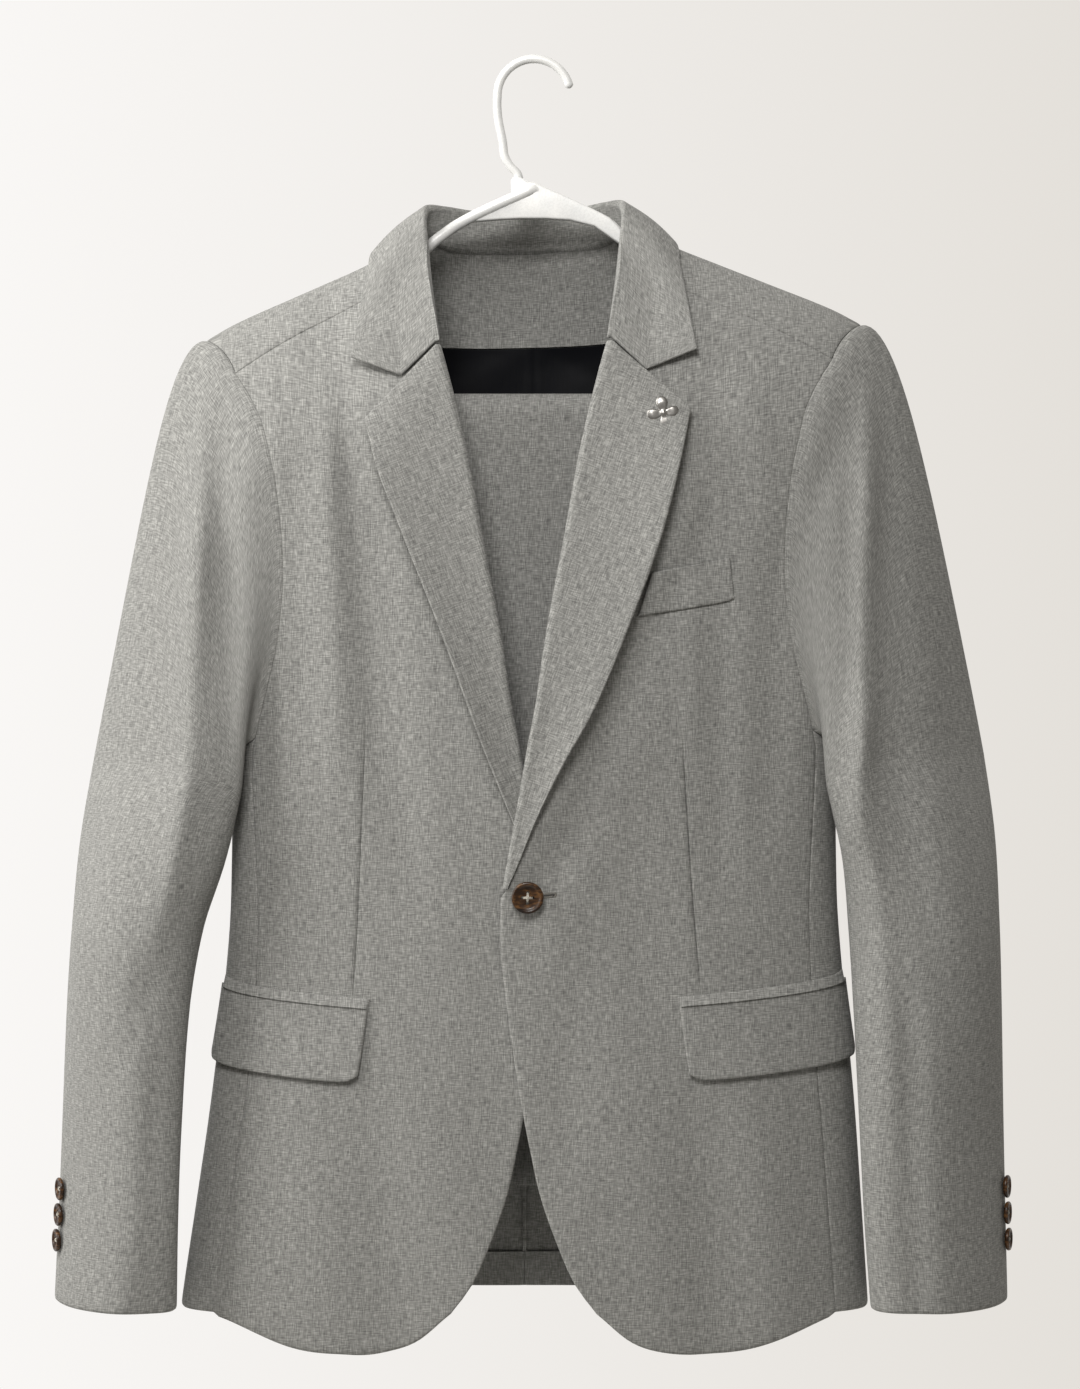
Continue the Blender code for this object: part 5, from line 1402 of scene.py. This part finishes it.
def leg(node_name, radius):
    """One pressed leg, a flat tube folded over the bar at the knee."""
    half_thick = LEG / 2
    below = np.linspace(0, 1, 41)
    path = []
    for face, low, run in ((FRONT, LEG_FRONT_LOW, below[::-1]), (BACK, LEG_BACK_LOW, below)):
        z = mix(BAR_Z - 12, low, run)
        y = face * (radius - LEG_CLOSE * ease((BAR_Z - z) / CLOSE_RUN))
        path.append(np.stack([y, z, face * run], axis=1))
    t = np.linspace(0, pi, 21)
    over = np.stack([-radius * np.cos(t), BAR_Z + radius * np.sin(t), 0 * t], axis=1)
    path = np.concatenate([path[0], over, path[1]])
    spine = path[:, :2]
    way = unit(np.gradient(spine, axis=0))
    out = np.stack([-way[:, 1], way[:, 0]], axis=1)
    half = read(LEG_HALF, path[:, 2])
    flat = np.linspace(-1, 1, 41)
    bend = np.linspace(-pi / 2, pi / 2, 9)[1:-1]
    loop = [(s, 1.0, 0.0) for s in flat] + [(1.0, -np.sin(t), np.cos(t)) for t in bend]
    loop += [(s, -1.0, 0.0) for s in flat[::-1]] + [(-1.0, np.sin(t), -np.cos(t)) for t in bend]
    loop = np.array(loop + loop[:1])
    mid = spine - out * half_thick
    x = NECK_X + (half[:, None] - half_thick) * loop[:, 0] + half_thick * loop[:, 2]
    ply = half_thick - 0.05
    seam_dip = 0.35 * np.exp(-((x - NECK_X - 3) / 1.6) ** 2) * (loop[:, 1] > 0.5)
    y, z = (mid[:, k:k + 1] + out[:, k:k + 1] * ply * loop[:, 1] - out[:, k:k + 1] * seam_dip
            for k in (0, 1))
    cloth(node_name, points(x, y, z), (0, 0, -400),
          wall=1.3, closed=True)


def trousers():
    inner = BAR_RADIUS + CLEAR + LEG
    outer = inner + CLEAR + LEG
    leg("trouser_leg_inner", inner)
    leg("trouser_leg_outer", outer)
    half, thick = LEG_HALF[-1][1] + 2, BAND_THICK / 2
    y_mid = outer - 4.0 + thick
    turn = np.linspace(0, 2 * pi, 97)
    c, s = np.cos(turn), np.sin(turn)
    x = NECK_X + half * np.sign(c) * np.abs(c) ** 0.25
    y = y_mid - thick * np.sign(s) * np.abs(s) ** 0.5
    top = LEG_BACK_LOW - 0.6
    z = np.linspace(top - BAND_HIGH, top, BAND_ROWS + 1)[:, None]
    swell = 1 - 0.04 * np.cos(np.linspace(-pi, pi, BAND_ROWS + 1))[:, None]
    p = points(x[None] + 0 * z, y_mid + (y[None] - y_mid) * swell, z + 0 * x[None])
    cloth("trouser_waistband", p, (NECK_X, y_mid, -720),
          wall=1.8, closed=True)


# ---- hanger
ROD, HOOK_BEND, HOOK_MOUTH = 2.85, 24.1, radians(15)
SHANK = [(-24.3, -28), (-23.4, -38), (-20.8, -51), (-19.4, -61), (-15.6, -68.0), (-11.2, -72.5),
         (-9.8, -76.3)]
ARM_RADIUS = 3.65
ARM_LINE = [(0, -83), (30, -96.5), (50, -106.5), (60, -113.2), (66, -117.8), (72, -123.2),
            (78, -127.4), (84, -130.8)]
ARM_SHIFT = 6.5
ARM_ROOM = 1.8
ARM_END = 196.0
BAR_BEND = [(203, 5), (210, 14), (213, 28), (208, 44), (196, 53)]
BAR_BEND_DROP = 55.0
ARM_AHEAD = 2.4             # how far the right arm's root stands in front of the plate's middle
PLATE_THICK, PLATE_END = 7.6, 60.0
PLATE_RISE = 4.3            # from the left arm's middle up to the plate's edge
PLATE_FOOT = [(-15.2, -77.8), (-13.8, -75.6), (-9.0, -75.2), (-4.6, -78.2)]
PLATE_LOW = [(39.5, -107.6), (23.6, -103.8), (8, -102.9), (-8.4, -102.8), (-24, -103.6),
             (-40.4, -105.0)]
PLATE_HIDDEN = [(-42, -102.5), (-30, -96.8), (-15, -89.0)]      # behind the right arm
ROUND = 28          # sides of the hanger's rods


def arm_z(x):
    under = hang(points(x, 0, ridge(x)))[..., 2] - WALL - ARM_ROOM - ARM_RADIUS
    seen = read(ARM_LINE, np.abs(x) + ARM_SHIFT * ease((x - 50) / 12))
    return mix(seen, under, ease((np.abs(x) - 84) / 16))


def hanger_plate():
    run = np.linspace(0, PLATE_END, 13)
    end = float(arm_z(np.array(PLATE_END))) - PLATE_RISE + 0.4
    rim = PLATE_FOOT + list(zip(run, arm_z(run) + PLATE_RISE)) + [(PLATE_END, end)]
    rim += PLATE_LOW + PLATE_HIDDEN
    bpy.ops.mesh.primitive_circle_add(vertices=len(rim), radius=1, fill_type="NGON")
    plate = bpy.context.object
    front_rim = np.array([(a, -PLATE_THICK / 2, b) for a, b in rim])
    plate.data.vertices.foreach_set("co", front_rim.ravel() * MM)
    move = {"value": (0, PLATE_THICK * MM, 0)}
    edit(plate, (bpy.ops.mesh.extrude_region_move, {"TRANSFORM_OT_translate": move}),
         (bpy.ops.mesh.normals_make_consistent, {"inside": False}))
    bevel(plate, 1.4, 4, 60)
    apply_modifiers(plate)
    return plate


def hanger():
    centre = -HOOK_BEND + ROD
    turn = np.linspace(HOOK_MOUTH, pi, 49)
    crown = points(HOOK_BEND * np.cos(turn), 0 * turn, centre + HOOK_BEND * np.sin(turn))
    shank = walk([(-HOOK_BEND, centre)] + SHANK, 40)[1:]
    hook = tube_along(np.concatenate([crown, points(shank[:, 0], 0.0, shank[:, 1])]), ROD, ROUND)
    smooth(hook)
    settle_piece(hook, "hanger_hook_rod", PLASTIC, "white_plastic", "hanger_hook")
    x = np.linspace(-ARM_END, ARM_END, 161)
    ahead = ARM_AHEAD * ease((4 - x) / 8) * ease((x + 62) / 26)
    arms = tube_along(points(x, -ahead, arm_z(x)), ARM_RADIUS, ROUND)
    bend = []
    for side in (1, -1):
        end = float(arm_z(np.array(side * ARM_END)))
        drop = (end - BAR_Z) / BAR_BEND_DROP
        spots = [(side * (ARM_END - 1.0), end)] + [(side * a, end - d * drop) for a, d in BAR_BEND]
        bend.append(walk(spots + [(side * 182, BAR_Z)], 40))
    route = np.concatenate([bend[0], bend[1][::-1]])
    bar = tube_along(points(route[:, 0], 0.0, route[:, 1]), ARM_RADIUS, ROUND)
    tubes = joined([arms, bar, hanger_plate()])
    smooth(tubes, 40)
    settle_piece(tubes, "hanger_tubes", PLASTIC, "white_plastic", "hanger_yoke",
                 "hanger_arm_left", "hanger_arm_right", "hanger_bar")


# ---- the whole suit
hanger()
for side, tag in SIDES:
    front(side, tag)
    side_panel(side, tag)
    back(side, tag)
    sleeve(side, tag)
    hip_pocket(side, tag)
collar()
lapel(1, LAPEL_EDGE_LEFT, "left")
lapel(-1, LAPEL_EDGE_RIGHT, "right")
chest_welt()
back_inside()
buttons()
buttonhole()
welt_stitches()
lapel_pin()
trousers()

# ---- floor, light and camera
bpy.ops.mesh.primitive_circle_add(vertices=96, radius=1.1, fill_type="NGON",
                                  location=(0, 0.1, -1.5))
floor = bpy.context.object
floor.name = "floor"
paint, tree = blank("pale_matt_floor")
speck = noise(tree, object_place(tree), 40.0)
feed(tree, (speck, [(0.3, "#D9D8D4"), (0.7, "#DFDEDA")]), Roughness=0.9)
floor.data.materials.append(paint)

# A pale studio wall behind the suit, brighter towards the window side, in a dimmer room.
world = bpy.data.worlds.new("studio")
world.use_nodes = True
tree = world.node_tree
way = node(tree, "SeparateXYZ", (), Vector=node(tree, "TexCoord").outputs["Generated"]).outputs
aside = spread(tree, way["X"], -0.16, 0.16, 0.0, 1.0)
wall = ramp(tree, aside, [(0.0, "#FAF8F6"), (1.0, "#E3DFD9")])
beyond = spread(tree, way["Y"], -0.1, 0.85, 0.0, 1.0, interpolation_type="SMOOTHSTEP")
room = node(tree, "Mix", {"data_type": "RGBA"}, i0=beyond, i6=tone("#8C8984"), i7=wall).outputs[2]
tree.links.new(room, tree.nodes["Background"].inputs["Color"])
bpy.context.scene.world = world
bpy.context.scene.view_settings.view_transform = "Standard"


def soft_light(name, at, aim, size, power, colour):
    bpy.ops.object.light_add(type="AREA", location=at)
    lamp = bpy.context.object
    lamp.name = name
    lamp.data.shape = "RECTANGLE"
    lamp.data.size, lamp.data.size_y = size
    lamp.data.energy = power
    lamp.data.color = tone(colour)[:3]
    lamp.rotation_euler = (Vector(aim) - Vector(at)).to_track_quat("-Z", "Y").to_euler()


soft_light("tall_side_light", (-1.56, -0.42, 0.34), (0, 0, -0.42), (0.6, 2.0), 37, "#FFFDFA")
soft_light("front_light", (-0.25, -1.43, 0.68), (0, 0, -0.42), (0.6, 0.6), 26, "#FFFDFB")

SEEN_HIGH = 1389 * 0.66     # height that the camera takes in at the suit
SENSOR = 36.0
EYE = (4.0, -2400.0, -416.6)
bpy.ops.object.camera_add(location=[c * MM for c in EYE], rotation=(pi / 2, 0, 0))
camera = bpy.context.object
camera.data.sensor_fit = "VERTICAL"
camera.data.sensor_height = camera.data.sensor_width = SENSOR
camera.data.lens = SENSOR * -EYE[1] / SEEN_HIGH
camera.data.clip_end = 20.0
bpy.context.scene.camera = camera
